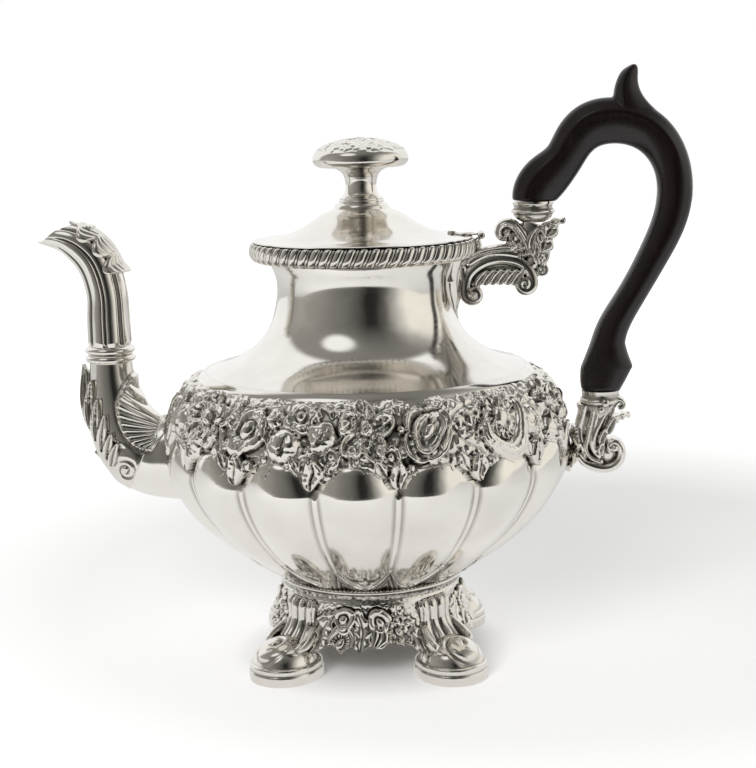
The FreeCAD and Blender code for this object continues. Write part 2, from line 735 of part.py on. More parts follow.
def make_ferrule(end, axis_x, top, foot_share):
    """Turned cup that takes one end of the grip, drilled for its cross pin."""
    label = f"{end}_ferrule"
    radius = f"{label}_radius"
    height = f"{label}_height"
    pin_z = f"{top} - tenon_length / 2"
    bore = "tenon_radius + solder_gap"
    floor = f"{top} - tenon_length - solder_gap"
    rim = f"{top} - solder_gap"
    turning = turned(f"{label}_turning", [
        ("0", f"{top} - {height}"),
        ((f"{radius} * {foot_share}", f"{top} - {height}"),),
        ((f"{radius} * 0.78", f"{top} - {height} * 0.82"),
         (f"{radius} * 0.9", f"{top} - {height} * 0.55")),
        ((f"{radius} * 1.06", f"{top} - {height} * 0.4"),
         (f"{radius} * 0.97", f"{top} - {height} * 0.25")),
        ((radius, rim),),
        ((bore, rim),),
        ((bore, floor),),
        (("0", floor),),
    ], axis_x=axis_x, keep=False)
    drill = drum(f"{label}_drill", axis_x, pin_z, "handle_pin_radius + pin_gap", f"4 * {radius}")
    ferrule = doc.addObject("Part::Cut", label)
    ferrule.Base = turning
    ferrule.Tool = drill
    nodes.append(ferrule)
    nodes.append(drum(f"{end}_pin", axis_x, pin_z, "handle_pin_radius", f"2 * {radius}"))


def make_bracket(label, outline, scrolls):
    """Cast scroll bracket: a plate of the given outline with wider drums where its scrolls curl."""
    pieces = [plate(f"{label}_plate", outline, "bracket_width")]
    for index, (x, z, radius) in enumerate(scrolls):
        pieces.append(drum(f"{label}_scroll_{index}", x, z, radius, "scroll_width"))
    bracket = doc.addObject("Part::MultiFuse", label)
    bracket.Shapes = pieces
    nodes.append(bracket)


def make_pad(label, low, high, face_x, half_width, against):
    """Pointed leaf-shaped pad, flat in front and shaped behind to the sheet that it is soldered to."""
    middle = (low + high) / 2
    back = face_x - 4 * val("pad_thickness")
    edge = Part.Wire([
        Part.Arc(Vector(back, 0, low), Vector(back, half_width, middle), Vector(back, 0, high)).toShape(),
        Part.Arc(Vector(back, 0, high), Vector(back, -half_width, middle), Vector(back, 0, low)).toShape(),
    ])
    block = Part.Face(edge).extrude(Vector(face_x - back, 0, 0))
    for piece in against:
        block = block.cut(piece.Shape)
    pad = outermost(block, Vector(1, 0, 0))
    pad.translate(Vector(val("solder_gap"), 0, 0))
    return node(label, pad)


def make_sockets(bowl, belt, neck):
    """The two handle sockets: pad on the body, scroll bracket, ferrule and cross pin."""
    upper_foot = 0.42
    lower_foot = 0.55
    make_ferrule("upper", UPPER_X, UPPER_Z, upper_foot)
    make_ferrule("lower", LOWER_X, LOWER_Z, lower_foot)

    face_x = "waist_radius + pad_thickness"
    make_pad("upper_pad", val(f"{WAIST} - neck_rise * 0.62"), val(f"{MOUTH} - rim_height - lid_gap"),
             val(face_x), val("pad_half_width"), (neck,))
    left = f"{face_x} + 2 * solder_gap"
    span = f"({UPPER_X}) - ({left})"
    cup_foot = f"{UPPER_Z} - upper_ferrule_height - solder_gap"
    rise = f"({cup_foot}) - ({WAIST})"
    cup = f"upper_ferrule_radius * {upper_foot}"

    def upper(out, up):
        return f"{left} + ({span}) * {out}", f"{WAIST} + ({rise}) * {up}"

    make_bracket("upper_bracket", [
        (left, upper(0, 0.32)[1]),
        (upper(0.24, 0.45), upper(0.48, 0.53)),
        (upper(0.58, 0.74), (f"{UPPER_X} - {cup}", cup_foot)),
        ((f"{UPPER_X} + {cup}", cup_foot),),
        (upper(1.27, 0.92), upper(1.42, 1.07)),
        (upper(1.36, 0.7), upper(1.08, 0.42)),
        (upper(1.07, 0.08), upper(0.9, -0.18)),
        (upper(0.71, -0.1), upper(0.72, 0.1)),
        (upper(0.54, 0.33), upper(0.33, 0.12)),
        (upper(0.28, -0.2), upper(0.12, -0.3)),
        ((left, upper(0, -0.22)[1]),),
    ], [
        (*upper(0.87, 0.0), "bracket_width * 0.5"),
        (*upper(0.16, -0.13), "bracket_width * 0.44"),
        (*upper(0.6, 0.93), "bracket_width * 0.4"),
    ])

    face_x = "bowl_radius + pad_thickness * 0.85"
    make_pad("lower_pad", val(f"{BELLY} - heel_rise * 0.55"), val(f"{BELLY} + heel_rise * 0.32"),
             val(face_x), val("pad_half_width"), (bowl, belt))
    left = f"{face_x} + 2 * solder_gap"
    span = f"({LOWER_X}) - ({left})"
    cup_foot = f"{LOWER_Z} - lower_ferrule_height - solder_gap"
    cup = f"lower_ferrule_radius * {lower_foot}"

    def lower(out, up):
        return f"{left} + ({span}) * {out}", f"{BELLY} + heel_rise * {up}"

    make_bracket("lower_bracket", [
        (left, lower(0, 0.22)[1]),
        (lower(0.2, 0.36), (f"{LOWER_X} - {cup}", cup_foot)),
        ((f"{LOWER_X} + {cup}", cup_foot),),
        (lower(1.75, 0.47), lower(2.25, 0.52)),
        (lower(1.62, 0.3), lower(1.5, 0.12)),
        (lower(1.66, 0.02), lower(1.85, 0.0)),
        (lower(2.2, -0.21), lower(1.85, -0.44)),
        (lower(1.1, -0.6), lower(0.4, -0.52)),
        (lower(0.12, -0.45), (left, lower(0, -0.36)[1])),
    ], [(*lower(1.66, -0.21), "bracket_width * 0.5")])


# Scroll foot, from the base ring to the toe: share of the way out, share of the way down,
# heading, and shares of the leg's half depth and half width.
SCROLL_FOOT = (
    (0.0, 0.0, -90, 1.0, 1.0),
    (0.07, 0.34, -78, 1.05, 0.92),
    (0.24, 0.68, -52, 1.45, 0.95),
    (0.52, 0.84, -14, 1.75, 1.2),
    (0.78, 0.84, -8, 1.75, 1.3),
    (0.95, 0.9, -30, 0.95, 1.0),
)


# Apron ornaments: distance along the panel, distance down it and radius, as shares of its drop,
# then the number of petals and how far they are cut in.
APRON_ORNAMENTS = (
    (-0.53, 0.27, 0.24, 8, 0.0),
    (-0.5, 0.68, 0.24, 7, 0.14),
    (-0.08, 0.48, 0.22, 3, 0.3),
    (0.32, 0.27, 0.24, 8, 0.0),
    (0.7, 0.52, 0.26, 5, 0.24),
)


def make_base():
    """Turned base ring, four apron panels with their ornaments, and four scroll feet on round pads."""
    bore = "base_radius - base_wall"
    turned("base_ring", [
        (bore, LEG_TOP),
        (("base_radius + base_height * 0.42", LEG_TOP),),
        (("base_radius + base_height * 0.58", f"{LEG_TOP} + base_height * 0.22"),
         ("base_radius + base_height * 0.3", f"{LEG_TOP} + base_height * 0.45")),
        (("base_radius + base_height * 0.06", f"{LEG_TOP} + base_height * 0.6"), ("base_radius", FLOOR)),
        ((bore, FLOOR),),
    ])
    base_radius = val("base_radius")
    top = val(LEG_TOP)
    drop = val("apron_drop")
    flare = val("apron_flare")
    thick = val("apron_wall")
    reach = val("foot_reach")
    leg_radius = base_radius + val("leg_half_depth") * 0.3

    def curve(inset):
        high = Vector(base_radius - inset, 0, top)
        middle = Vector(base_radius + flare * 0.2 - inset, 0, top - drop * 0.55)
        return Part.Arc(high, middle, Vector(base_radius + flare - inset, 0, top - drop))

    outer = curve(0)
    inner = curve(thick)
    section = Part.Wire([
        outer.toShape(),
        Part.LineSegment(outer.EndPoint, inner.EndPoint).toShape(),
        inner.toShape(),
        Part.LineSegment(inner.StartPoint, outer.StartPoint).toShape(),
    ])
    half_leg = math.degrees(math.asin((val("leg_half_width + leg_gap")) / (base_radius - thick)))
    sweep = 90 - 2 * half_leg
    axis = (Vector(0, 0, 0), Vector(0, 0, 1))
    panel = Part.Face(section).revolve(*axis, sweep).rotated(*axis, -sweep / 2)
    bosses = []
    for along, down, size, petals, cut in APRON_ORNAMENTS:
        height = top - drop * down
        radius = face_radius(panel, height)
        angle = drop * along / radius
        outward = Vector(math.cos(angle), math.sin(angle), 0)
        spot = outward * radius + Vector(0, 0, height)
        bosses.append(rosette(
            spot, outward, axis[1].cross(outward), drop * size, petals, cut, -thick / 2, val("apron_relief")))
    apron = panel.fuse(bosses).removeSplitter()
    for label, heading in (("handle_side", 0), ("back", 90), ("spout_side", 180), ("front", 270)):
        node(f"apron_{label}", apron.rotated(*axis, heading))

    edge = val("foot_edge")
    radius = val("foot_radius")
    moulding = ((0, 0), (1, 0), (1, 0.42), (0.92, 0.5), (0.95, 0.62), (0.95, 0.9), (0.86, 1), (0, 1), (0, 0))
    profile = Part.makePolygon([Vector(radius * out, 0, edge * up) for out, up in moulding])
    pad = Part.Face(profile).revolve(*axis, 360).translated(Vector(reach, 0, 0))
    width = val("volute_width")
    eye = Vector(reach, -width / 2, edge + val("volute_radius") * 0.95)
    volute = Part.makeCylinder(val("volute_radius"), width, eye, Vector(0, 1, 0))
    start = Vector(leg_radius, 0, top)
    sections = []
    for out, down, heading, depth, width in SCROLL_FOOT:
        x = start.x + (reach + radius - start.x) * out
        place = across(x, top + (edge - top) * down, heading)
        sections.append(lobed(
            place, val("leg_half_depth") * depth, val("leg_half_width") * width,
            int(val("reed_count")), val("reed_depth")))
    foot = pad.fuse([loft(sections), volute]).removeSplitter()
    corners = (("back_right", 45), ("back_left", 135), ("front_left", 225), ("front_right", 315))
    for label, heading in corners:
        node(f"foot_{label}", foot.rotated(*axis, heading))


def write_nodes():
    """Check every piece, then write each one to a file of its own name."""
    doc.recompute()
    for item in doc.Objects:
        if "Invalid" in item.State or "Error" in item.State:
            raise RuntimeError(f"{item.Label} did not build: {item.State}")
    for item in nodes:
        if item.Shape.isNull() or not item.Shape.isValid() or not item.Shape.Solids:
            raise RuntimeError(f"{item.Label} has no valid solid")
    os.makedirs("parts", exist_ok=True)
    for item in nodes:
        item.Shape.exportStep(os.path.join("parts", f"{item.Label}.step"))
        print(f"{item.Label}: {len(item.Shape.Solids)} solids, {item.Shape.Volume:.0f} mm3")


bowl_node = make_bowl()
belt_node = make_belt()
neck_node = make_neck()
make_rim()
dome_node = make_lid()
make_hinge(dome_node)
make_spout()
make_grip()
make_sockets(bowl_node, belt_node, neck_node)
make_base()
write_nodes()
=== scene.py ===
"""Looks of a silver teapot: raised, cast and chased silver with a carved wooden handle.

Sizes are millimetres in the part's own frame: the pot's axis stands upright at the
origin, the spout points along -X and the handle stands on +X. Meshes are in metres.
"""
import logging
import math
from dataclasses import dataclass
from enum import Enum
from typing import Any, ClassVar

import bpy
import numpy as np
from mathutils import Matrix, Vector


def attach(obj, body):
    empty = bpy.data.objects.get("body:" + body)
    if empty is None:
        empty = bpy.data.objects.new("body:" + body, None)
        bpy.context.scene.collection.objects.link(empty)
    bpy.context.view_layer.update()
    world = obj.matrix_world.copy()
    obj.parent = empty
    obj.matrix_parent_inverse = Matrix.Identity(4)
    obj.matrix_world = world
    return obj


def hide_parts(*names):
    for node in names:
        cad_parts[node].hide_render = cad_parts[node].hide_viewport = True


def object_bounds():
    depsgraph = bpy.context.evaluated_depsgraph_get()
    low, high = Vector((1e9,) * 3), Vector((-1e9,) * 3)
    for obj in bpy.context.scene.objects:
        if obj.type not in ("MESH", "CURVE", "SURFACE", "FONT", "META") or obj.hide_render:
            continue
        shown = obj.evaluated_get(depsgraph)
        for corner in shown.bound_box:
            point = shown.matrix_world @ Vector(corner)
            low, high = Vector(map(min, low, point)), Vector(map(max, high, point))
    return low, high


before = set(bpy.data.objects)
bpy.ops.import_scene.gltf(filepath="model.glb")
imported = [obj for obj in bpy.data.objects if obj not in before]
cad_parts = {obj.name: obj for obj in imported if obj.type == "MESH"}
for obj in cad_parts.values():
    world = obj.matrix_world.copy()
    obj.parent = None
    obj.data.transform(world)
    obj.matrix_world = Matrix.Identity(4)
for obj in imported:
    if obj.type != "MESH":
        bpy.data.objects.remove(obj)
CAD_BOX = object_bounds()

Array = np.ndarray
NodeSocket = bpy.types.NodeSocket
Triple = tuple[float, float, float]
MM = 0.001
TAU = 2 * math.pi
ACROSS = (0.0, 1.0, 0.0)
AXIS = 0.02  # radius at which turned profiles meet their axis
NO_REPEAT = 1000.0  # period of a field of ornament that doesn't repeat
CRISP = math.radians(50)  # edges that are sharper than this stay crisp
WHITE = (1.0, 1.0, 1.0, 1.0)
log = logging.getLogger("teapot")


class Carrier(Enum):
    """The two bodies that pieces ride on."""

    POT = "pot"
    LID = "lid"


class Motif(Enum):
    """Chased ornaments that are drawn as heights on a patch."""

    BLOSSOM = "blossom"
    ROSE = "rose"
    SHELL = "shell"
    BUD = "bud"
    LEAF = "leaf"
    SCROLL = "scroll"
    DROP = "drop"


# Curves and sections


def smooth(knots: Any, count: int) -> Array:
    """Read a natural cubic curve through knots.

    Args:
        knots: Points that the curve passes through, one per row.
        count: How many points to read, evenly along the chords.

    Returns:
        The points read, one per row.
    """
    knots = np.asarray(knots, float)
    steps = np.maximum(np.linalg.norm(np.diff(knots[:, :2], axis=0), axis=1), 1e-6)
    at = np.concatenate([[0], np.cumsum(steps)])
    size = len(knots)
    system, right = np.eye(size), np.zeros_like(knots)
    slope = np.diff(knots, axis=0) / steps[:, None]
    for i in range(1, size - 1):
        system[i, i - 1:i + 2] = steps[i - 1], 2 * (steps[i - 1] + steps[i]), steps[i]
        right[i] = 6 * (slope[i] - slope[i - 1])
    bend = np.linalg.solve(system, right)
    read = np.linspace(0, at[-1], count)
    span = np.clip(np.searchsorted(at, read, side="right") - 1, 0, size - 2)
    step = steps[span][:, None]
    ahead = (read - at[span])[:, None]
    return sum(
        bend[k] * part ** 3 / (6 * step) + (knots[k] / step - bend[k] * step / 6) * part
        for k, part in ((span, step - ahead), (span + 1, ahead)))


def travel(line: Array) -> Array:
    """Distance walked to each point of a line."""
    return np.concatenate([[0], np.cumsum(np.linalg.norm(np.diff(line, axis=0), axis=1))])


def heading(line: Array) -> Array:
    """Unit direction at each point of a line."""
    way = np.gradient(line, axis=0)
    return way / np.linalg.norm(way, axis=1, keepdims=True)


def evenly(line: Array, count: int) -> Array:
    """Read count points at even distances along a line of points."""
    at = travel(line)
    return np.stack([np.interp(np.linspace(0, at[-1], count), at, k) for k in line.T], 1)


def spread(values: Any, count: int) -> Array:
    """Read values evenly from the first to the last, one per row."""
    at = np.linspace(0, 1, np.size(values))
    return np.interp(np.linspace(0, 1, count), at, np.ravel(values))[:, None]


def circle(count: int) -> Array:
    """Even angles round a full turn."""
    return np.linspace(0, TAU, count, endpoint=False)


def ramp(low: float, high: float, value: Array) -> Array:
    """Smooth step from 0 at low to 1 at high."""
    share = np.clip((value - low) / (high - low), 0, 1)
    return share * share * (3 - 2 * share)


def bell(value: Array, width: float) -> Array:
    """Soft bump of height 1 at 0."""
    return np.exp(-((value / width) ** 2))


def mound(distance: Array, radius: float = 1.0) -> Array:
    """Half ball of height 1 over a distance from its middle."""
    return np.sqrt(np.clip(1 - (distance / radius) ** 2, 0, 1))


def reeds(phase: Array, power: float) -> Array:
    """Row of rounded reeds of height 1, one for each unit of phase."""
    return np.abs(np.sin(math.pi * phase)) ** power


def boxed(value: Array, power: float) -> Array:
    """Values from -1 to 1 drawn towards both ends."""
    return np.sign(value) * np.abs(value) ** power


def between(value: Array, period: float) -> Array:
    """Place between multiples of a period: 0 on them and 1 halfway."""
    return np.abs((value + period / 2) % period / period * 2 - 1)


def about_axis(radius: Any, angle: Any, height: Any) -> Array:
    """Points about the pot's axis."""
    spot = (radius * np.cos(angle), radius * np.sin(angle), height)
    return np.stack(np.broadcast_arrays(*spot), -1)


def shell_loop(line: Array, wall: float) -> Array:
    """Close a flat line into the outline of a sheet of one wall to its left."""
    way = heading(line)
    return np.vstack([line, (line + wall * np.stack([-way[:, 1], way[:, 0]], 1))[::-1]])


def spiral(centre: tuple[float, float], start: float, end: float, angle: float, turns: float,
           count: int = 40) -> Array:
    """Points of a flat spiral.

    Args:
        centre: Middle of the spiral.
        start: First radius.
        end: Last radius.
        angle: First angle, in degrees.
        turns: Number of turns, anticlockwise if positive.
        count: Number of points.

    Returns:
        The points, one per row.
    """
    share = np.linspace(0, 1, count)
    around = math.radians(angle) + TAU * turns * share
    radius = start + (end - start) * share ** 0.85
    return np.stack([radius * np.cos(around), radius * np.sin(around)], 1) + centre


@dataclass
class Skin:
    """Points in millimetres and the faces between them."""

    points: Array
    quads: Array
    tris: Array

    @staticmethod
    def over(rows: Array, ring: bool = False) -> "Skin":
        """Stretch a closed skin over rows of closed loops.

        Args:
            rows: Points, as rows by loop by three.
            ring: Join the last row to the first; otherwise fans close both ends.

        Returns:
            The skin, facing outward.
        """
        count, size = rows.shape[:2]
        points = rows.reshape(-1, 3)
        index = np.arange(count * size).reshape(count, size)
        first, last = index[0], index[-1]
        if ring:
            index = np.vstack([index, index[:1]])
        near, far = index[:-1], index[1:]
        quads = np.stack([near, np.roll(near, -1, 1), np.roll(far, -1, 1), far], -1).reshape(-1, 4)
        tris = np.empty((0, 3), int)
        if not ring:
            points = np.vstack([points, rows[0].mean(0), rows[-1].mean(0)])
            tris = np.vstack([
                np.stack([np.roll(first, -1), first, np.full(size, count * size)], -1),
                np.stack([last, np.roll(last, -1), np.full(size, count * size + 1)], -1)])
        skin = Skin(points, quads, tris)
        return skin if skin.volume() > 0 else skin.flipped()

    @staticmethod
    def sheet(front: Array, back: Array) -> "Skin":
        """Close a front and a back face into one skin."""
        return Skin.over(np.concatenate([front, back[:, ::-1]], 1))

    @staticmethod
    def joined(skins: list["Skin"]) -> "Skin":
        """Lay several skins side by side in one."""
        base = np.cumsum([0] + [len(skin.points) for skin in skins[:-1]])
        return Skin(
            np.vstack([skin.points for skin in skins]),
            np.vstack([skin.quads + start for skin, start in zip(skins, base)]),
            np.vstack([skin.tris + start for skin, start in zip(skins, base)]))

    def volume(self) -> float:
        """Signed volume, positive when the faces look outward."""
        corners = np.vstack([self.quads[:, :3], self.quads[:, [0, 2, 3]], self.tris])
        a, b, c = (self.points[corners[:, k]] for k in range(3))
        return float(np.einsum("ij,ij->i", a, np.cross(b, c)).sum())

    def flipped(self) -> "Skin":
        """The same skin with its faces turned round."""
        return Skin(self.points, self.quads[:, ::-1], self.tris[:, ::-1])

    def turned(self, degrees: float) -> "Skin":
        """The skin turned about the pot's axis."""
        cos, sin = math.cos(math.radians(degrees)), math.sin(math.radians(degrees))
        spin = np.array([[cos, -sin, 0], [sin, cos, 0], [0, 0, 1]])
        return Skin(self.points @ spin.T, self.quads, self.tris)

    def paired(self) -> list["Skin"]:
        """The skin and its mirror image in the pot's middle plane."""
        return [self, Skin(self.points * [1, -1, 1], self.quads, self.tris).flipped()]


def revolve(profile: Array, segments: int, axis_x: float = 0.0) -> Array:
    """Turn (radius, height) points about an upright axis into rows of loops."""
    return about_axis(profile[:, :1], circle(segments), profile[:, 1:]) + [axis_x, 0, 0]


def spindle(profile: Any, segments: int, axis_x: float = 0.0) -> Array:
    """Turn a profile whose two ends run in to the axis."""
    profile = np.asarray(profile)
    first, last = profile[[0, -1]] * [0, 1] + [AXIS, 0]
    return revolve(np.vstack([first, profile, last]), segments, axis_x)


def sweep(path: Array, loops: Array) -> Array:
    """Carry section loops along a path in the middle plane.

    Args:
        path: Points (x, z) of the path.
        loops: For each of them, a loop of (left of the path, across) points.

    Returns:
        Rows of loops.
    """
    way = heading(path)
    x = path[:, :1] - way[:, 1:] * loops[..., 0]
    z = path[:, 1:] + way[:, :1] * loops[..., 0]
    return np.stack([x, loops[..., 1], z], -1)


def band(path: Array, depth: Any, width: Any, groove: float = 0.0, ridges: int = 1) -> Skin:
    """Scroll band with grooves along both sides.

    Args:
        path: Points (x, z) of its path.
        depth: Half depth, or several evenly along it.
        width: Half width, or several evenly along it.
        groove: Share of the width by which the grooves are sunk.
        ridges: Number of ridges side by side, or 1 for a single wide channel.

    Returns:
        The closed skin.
    """
    around = circle(56)
    u, v = boxed(np.cos(around), 0.7), boxed(np.sin(around), 0.7)
    sunk = 1 - reeds(ridges * (u + 1) / 2, 0.6) if ridges > 1 else ramp(0.82, 0.6, np.abs(u))
    v *= 1 - groove * sunk
    count = len(path)
    return Skin.over(sweep(path, np.stack([spread(depth, count) * u, spread(width, count) * v], -1)))


def frond(left: Any, right: Any, ribs: int, thick: float, y: float) -> Skin:
    """Ribbed leaf between two edges, as seen from the side.

    Args:
        left: Knots (x, z) of its left edge from stalk to tip.
        right: Knots (x, z) of its right edge.
        ribs: Number of ribs.
        thick: Thickness.
        y: Distance of its back from the middle plane.

    Returns:
        The closed skin of the leaf on the near side.
    """
    count = 40
    s = np.linspace(0, 1, ribs * 10 + 1)
    edges = [smooth(edge, count)[:, None] for edge in (left, right)]
    flat = edges[0] * (1 - s)[:, None] + edges[1] * s[:, None]
    share = np.linspace(0, 1, count)[:, None]
    rise = (0.35 + 0.65 * reeds(ribs * s, 0.6)) * mound(2 * s - 1) ** 0.5 * (1 - 0.6 * share ** 4)
    sides = [np.insert(flat, 1, level, -1) for level in (-y - thick * rise, 1.0 - y)]
    return Skin.sheet(*sides)


def ball(centre: Any, half_sizes: Any) -> Skin:
    """Rounded bead with three half sizes."""
    polar = np.linspace(0.05, math.pi - 0.05, 12)
    profile = np.stack([np.sin(polar), -np.cos(polar)], 1)
    return Skin.over(revolve(profile, 24) * np.asarray(half_sizes) + np.asarray(centre))


def leaf(spine: Array, side: Any, width: float, thick: float, lobes: int, droop: float = 0.0) -> Skin:
    """Veined leaf with a lobed edge along a spine.

    Args:
        spine: Points of the midrib from stalk to tip.
        side: Direction across the leaf.
        width: Largest half width.
        thick: Thickness of the blade.
        lobes: Number of lobes along each edge.
        droop: How far the edges fall behind the midrib.

    Returns:
        The closed skin of the leaf.
    """
    columns, forward = 25, 0.55
    share = np.linspace(0, 1, len(spine))[:, None]
    out = np.cross(np.broadcast_to(side, spine.shape), np.gradient(spine, axis=0))
    out /= np.linalg.norm(out, axis=1, keepdims=True)
    s = np.linspace(-1, 1, columns)
    half = np.clip(np.sin(math.pi * share ** 0.75), 0, 1) ** 0.55
    half = np.maximum(half * (0.6 + 0.4 * reeds(lobes * share - forward, 0.7)), 0.02)
    vein = 0.5 - 0.5 * np.cos(TAU * (lobes * share - forward * np.abs(s)))
    swell = thick * np.sqrt(1 - 0.92 * s ** 2)
    fall = droop * (half * s) ** 2
    flat = spine[:, None] + np.asarray(side) * (width * half * s)[..., None]
    faces = (swell * (0.45 + 0.55 * vein - 0.35 * bell(s, 0.1)) - fall, -0.5 * swell - fall)
    return Skin.sheet(*(flat + out[:, None] * lift[..., None] for lift in faces))


def spine_in_plane(knots: Any, y: float = 0.0, count: int = 40) -> Array:
    """Smooth spine through (x, z) knots at one distance from the middle plane."""
    return np.insert(smooth(knots, count), 1, y, 1)


def castings(bands: Any = (), beads: Any = (), leaves: Any = ()) -> list[Skin]:
    """Skins of one casting from tables.

    Args:
        bands: Knots (x, z), number of points, then what band takes after its path.
        beads: Three coordinates and three half sizes.
        leaves: Knots (x, z), distance from the middle plane, number of points, then what
            leaf takes after its spine; each stands on both sides.

    Returns:
        The skins.
    """
    skins = [band(smooth(knots, count), *rest) for knots, count, *rest in bands]
    skins += [ball(bead[:3], bead[3:]) for bead in beads]
    for knots, y, count, *rest in leaves:
        skins += leaf(spine_in_plane(knots, y, count), *rest).paired()
    return skins


# Chased ornament as heights from 0 to 1, and below 0 outside its outline


def cloud(shape: tuple[int, int], grain: float, seed: int) -> Array:
    """Even soft noise that wraps round, with lumps about grain cells across."""
    white = np.random.default_rng(seed).normal(size=shape)
    down, across = np.fft.fftfreq(shape[0])[:, None], np.fft.rfftfreq(shape[1])[None, :]
    soft = np.exp(-(down ** 2 + across ** 2) * (math.pi * grain) ** 2)
    lumps = np.fft.irfft2(np.fft.rfft2(white) * soft, s=shape)
    return lumps / lumps.std()


def crescent(p: Array, q: Array, inner: float, ribs: float) -> tuple[Array, Array, Array]:
    """Rolled leaf between an outer circle and a smaller one set off to the upper left.

    Args:
        p: Coordinate along the patch.
        q: Coordinate across the patch.
        inner: Radius of the smaller circle.
        ribs: Number of ribs that follow the roll.

    Returns:
        Heights of the roll, distance from the smaller circle's middle, and what lies inside.
    """
    rho, off = np.hypot(p, q), np.hypot(p + 0.24, q - 0.24)
    thick = np.maximum(1 - rho, 0) + np.maximum(off - inner, 0)
    across = np.clip((1 - rho) / np.maximum(thick, 1e-3), 0, 1)
    roll = 0.08 + 0.6 * mound(2 * across - 1) + 0.13 * reeds(ribs * across, 0.6)
    return roll, off, (rho < 1) & ((off < inner) | (thick > 0.16))


def motif_height(kind: Motif, p: Array, q: Array) -> Array:
    """Height of an ornament over its own patch.

    Args:
        kind: Which ornament.
        p: Coordinate along the ornament, -1 to 1 inside it.
        q: Coordinate across the ornament, -1 to 1 inside it.

    Returns:
        Heights from 0 to about 1 inside the outline and -1 outside it.
    """
    rho, phi = np.hypot(p, q), np.arctan2(q, p)
    inside = rho < 1
    if kind is Motif.BLOSSOM:
        height = np.full(p.shape, -1.0)
        for index in range(5):
            turn = phi - TAU * index / 5
            along, off = rho * np.cos(turn), rho * np.sin(turn)
            oval = np.hypot((along - 0.6) / 0.4, off / 0.4)
            petal = 0.3 + 0.42 * bell(oval - 0.8, 0.2) * ramp(0.3, 0.6, along)
            petal = petal + 0.4 * mound(np.hypot(along - 0.74, off - 0.1), 0.17)
            petal = petal - 0.12 * bell(off, 0.05) * ramp(0.75, 0.3, along)
            height = np.maximum(height, np.where(oval < 1, petal, -1))
        heart = 0.42 + 0.45 * mound(rho, 0.25) + 0.05 * np.cos(40 * p) * np.cos(40 * q)
        height = np.where(rho < 0.24, heart, height)
        inside = height > 0
    elif kind is Motif.ROSE:
        inside, height = np.zeros(p.shape, bool), np.zeros(p.shape)
        for edge, foot, petals, base in ((1.0, 0.4, 4, 0.16), (0.64, 0.16, 3, 0.4)):
            phase = (phi / TAU * petals + base) % 1
            reach = edge * (0.82 + 0.18 * reeds(phase, 0.6))
            share = np.clip((rho - foot) / (reach - foot), 0, 1)
            lip = 0.36 * bell(share - 0.78, 0.22) - 0.22 * ramp(0.85, 1.0, share)
            height = np.where(rho < reach, base + 0.2 * phase + lip, height)
            inside |= rho < reach
        height = np.where(rho < 0.2, 0.45 + 0.45 * mound(rho, 0.2), height)
    elif kind is Motif.SHELL:
        roll, off, inside = crescent(p, q, 0.62, 3.0)
        fan = 0.16 + 0.3 * (off / 0.62) ** 2 + 0.09 * np.cos(18 * np.arctan2(q - 0.24, p + 0.24))
        heart = np.where(off < 0.29, 0.3 + 0.5 * mound(off, 0.29), fan)
        height = np.where(off < 0.62, heart, roll)
    elif kind is Motif.BUD:
        low = np.hypot(p, q + 0.35)
        crease = np.abs(np.sin(2.5 * np.arctan2(q + 0.35, p))) ** 0.35 - 1
        height = 0.12 + 0.88 * mound(rho) - 0.45 * mound(low, 0.22)
        height = height + 0.16 * crease * ramp(0.1, 0.25, low) * ramp(1.0, 0.6, low)
    elif kind is Motif.LEAF:
        lobes = 2.0
        half = 0.6 * mound(p) * (0.82 + 0.18 * np.cos(TAU * lobes * p))
        s = np.abs(q) / np.maximum(half, 1e-3)
        vein = 0.13 * np.cos(TAU * (lobes * p - 0.3 * s))
        height = 0.14 + mound(s) ** 0.8 * (0.56 + vein * s * 1.5) - 0.24 * bell(q, 0.09)
        inside = (s < 1) & (np.abs(p) < 1)
    elif kind is Motif.DROP:
        half = 0.75 * np.clip(1 - p, 0, 1) ** 0.6 * np.clip(1 + p, 0, 1) ** 0.35
        s = np.abs(q) / np.maximum(half, 1e-3)
        height = 0.25 + 0.6 * mound(2 * s - 1) - 0.12 * p
        inside = (s < 1) & (np.abs(p) < 1)
    else:
        turn = (phi / TAU + 0.5) % 1
        reach = (0.98 - 0.34 * turn) * (0.88 + 0.12 * reeds(4.5 * turn, 0.5))
        share = np.clip((rho - 0.3) / (reach - 0.3), 0, 1)
        fold = 0.16 * reeds(4.5 * turn + 0.35 * share, 0.5) * ramp(0.15, 0.7, share)
        height = 0.2 + 0.34 * mound(2 * share - 1) + fold + 0.14 * (1 - turn)
        height = np.where(rho < 0.32, 0.3 + 0.6 * mound(rho, 0.32), height)
        inside = rho < reach
    return np.where(inside, height, -1.0)


def lay_motif(field: Array, along: Array, up: Array, place: tuple, period: float = NO_REPEAT,
              raised: float = 1.0) -> None:
    """Raise one ornament on a field of heights.

    Args:
        field: Heights, changed in place to the greater of the two.
        along: Distance along the field, in millimetres.
        up: Distance up the field, in millimetres.
        place: Ornament, distance along, distance up, radius, turn in degrees and relief.
        period: Distance after which the field repeats.
        raised: Relief of the whole field.
    """
    kind, x, y, radius, turn, relief = place
    offset = (along - x + period / 2) % period - period / 2
    near = (np.abs(offset) < radius * 1.05) & (np.abs(up - y) < radius * 1.05)
    cos, sin = math.cos(math.radians(turn)), math.sin(math.radians(turn))
    u, v = offset[near] / radius, (up[near] - y) / radius
    wander = 0.07
    u, v = u + wander * np.sin(4 * v + x), v + wander * np.sin(4 * u + 1.3 * y)
    height = motif_height(kind, u * cos + v * sin, v * cos - u * sin)
    higher = np.maximum(field[near], height * relief * raised)
    field[near] = np.where(height > 0, higher, field[near])


# Finishes

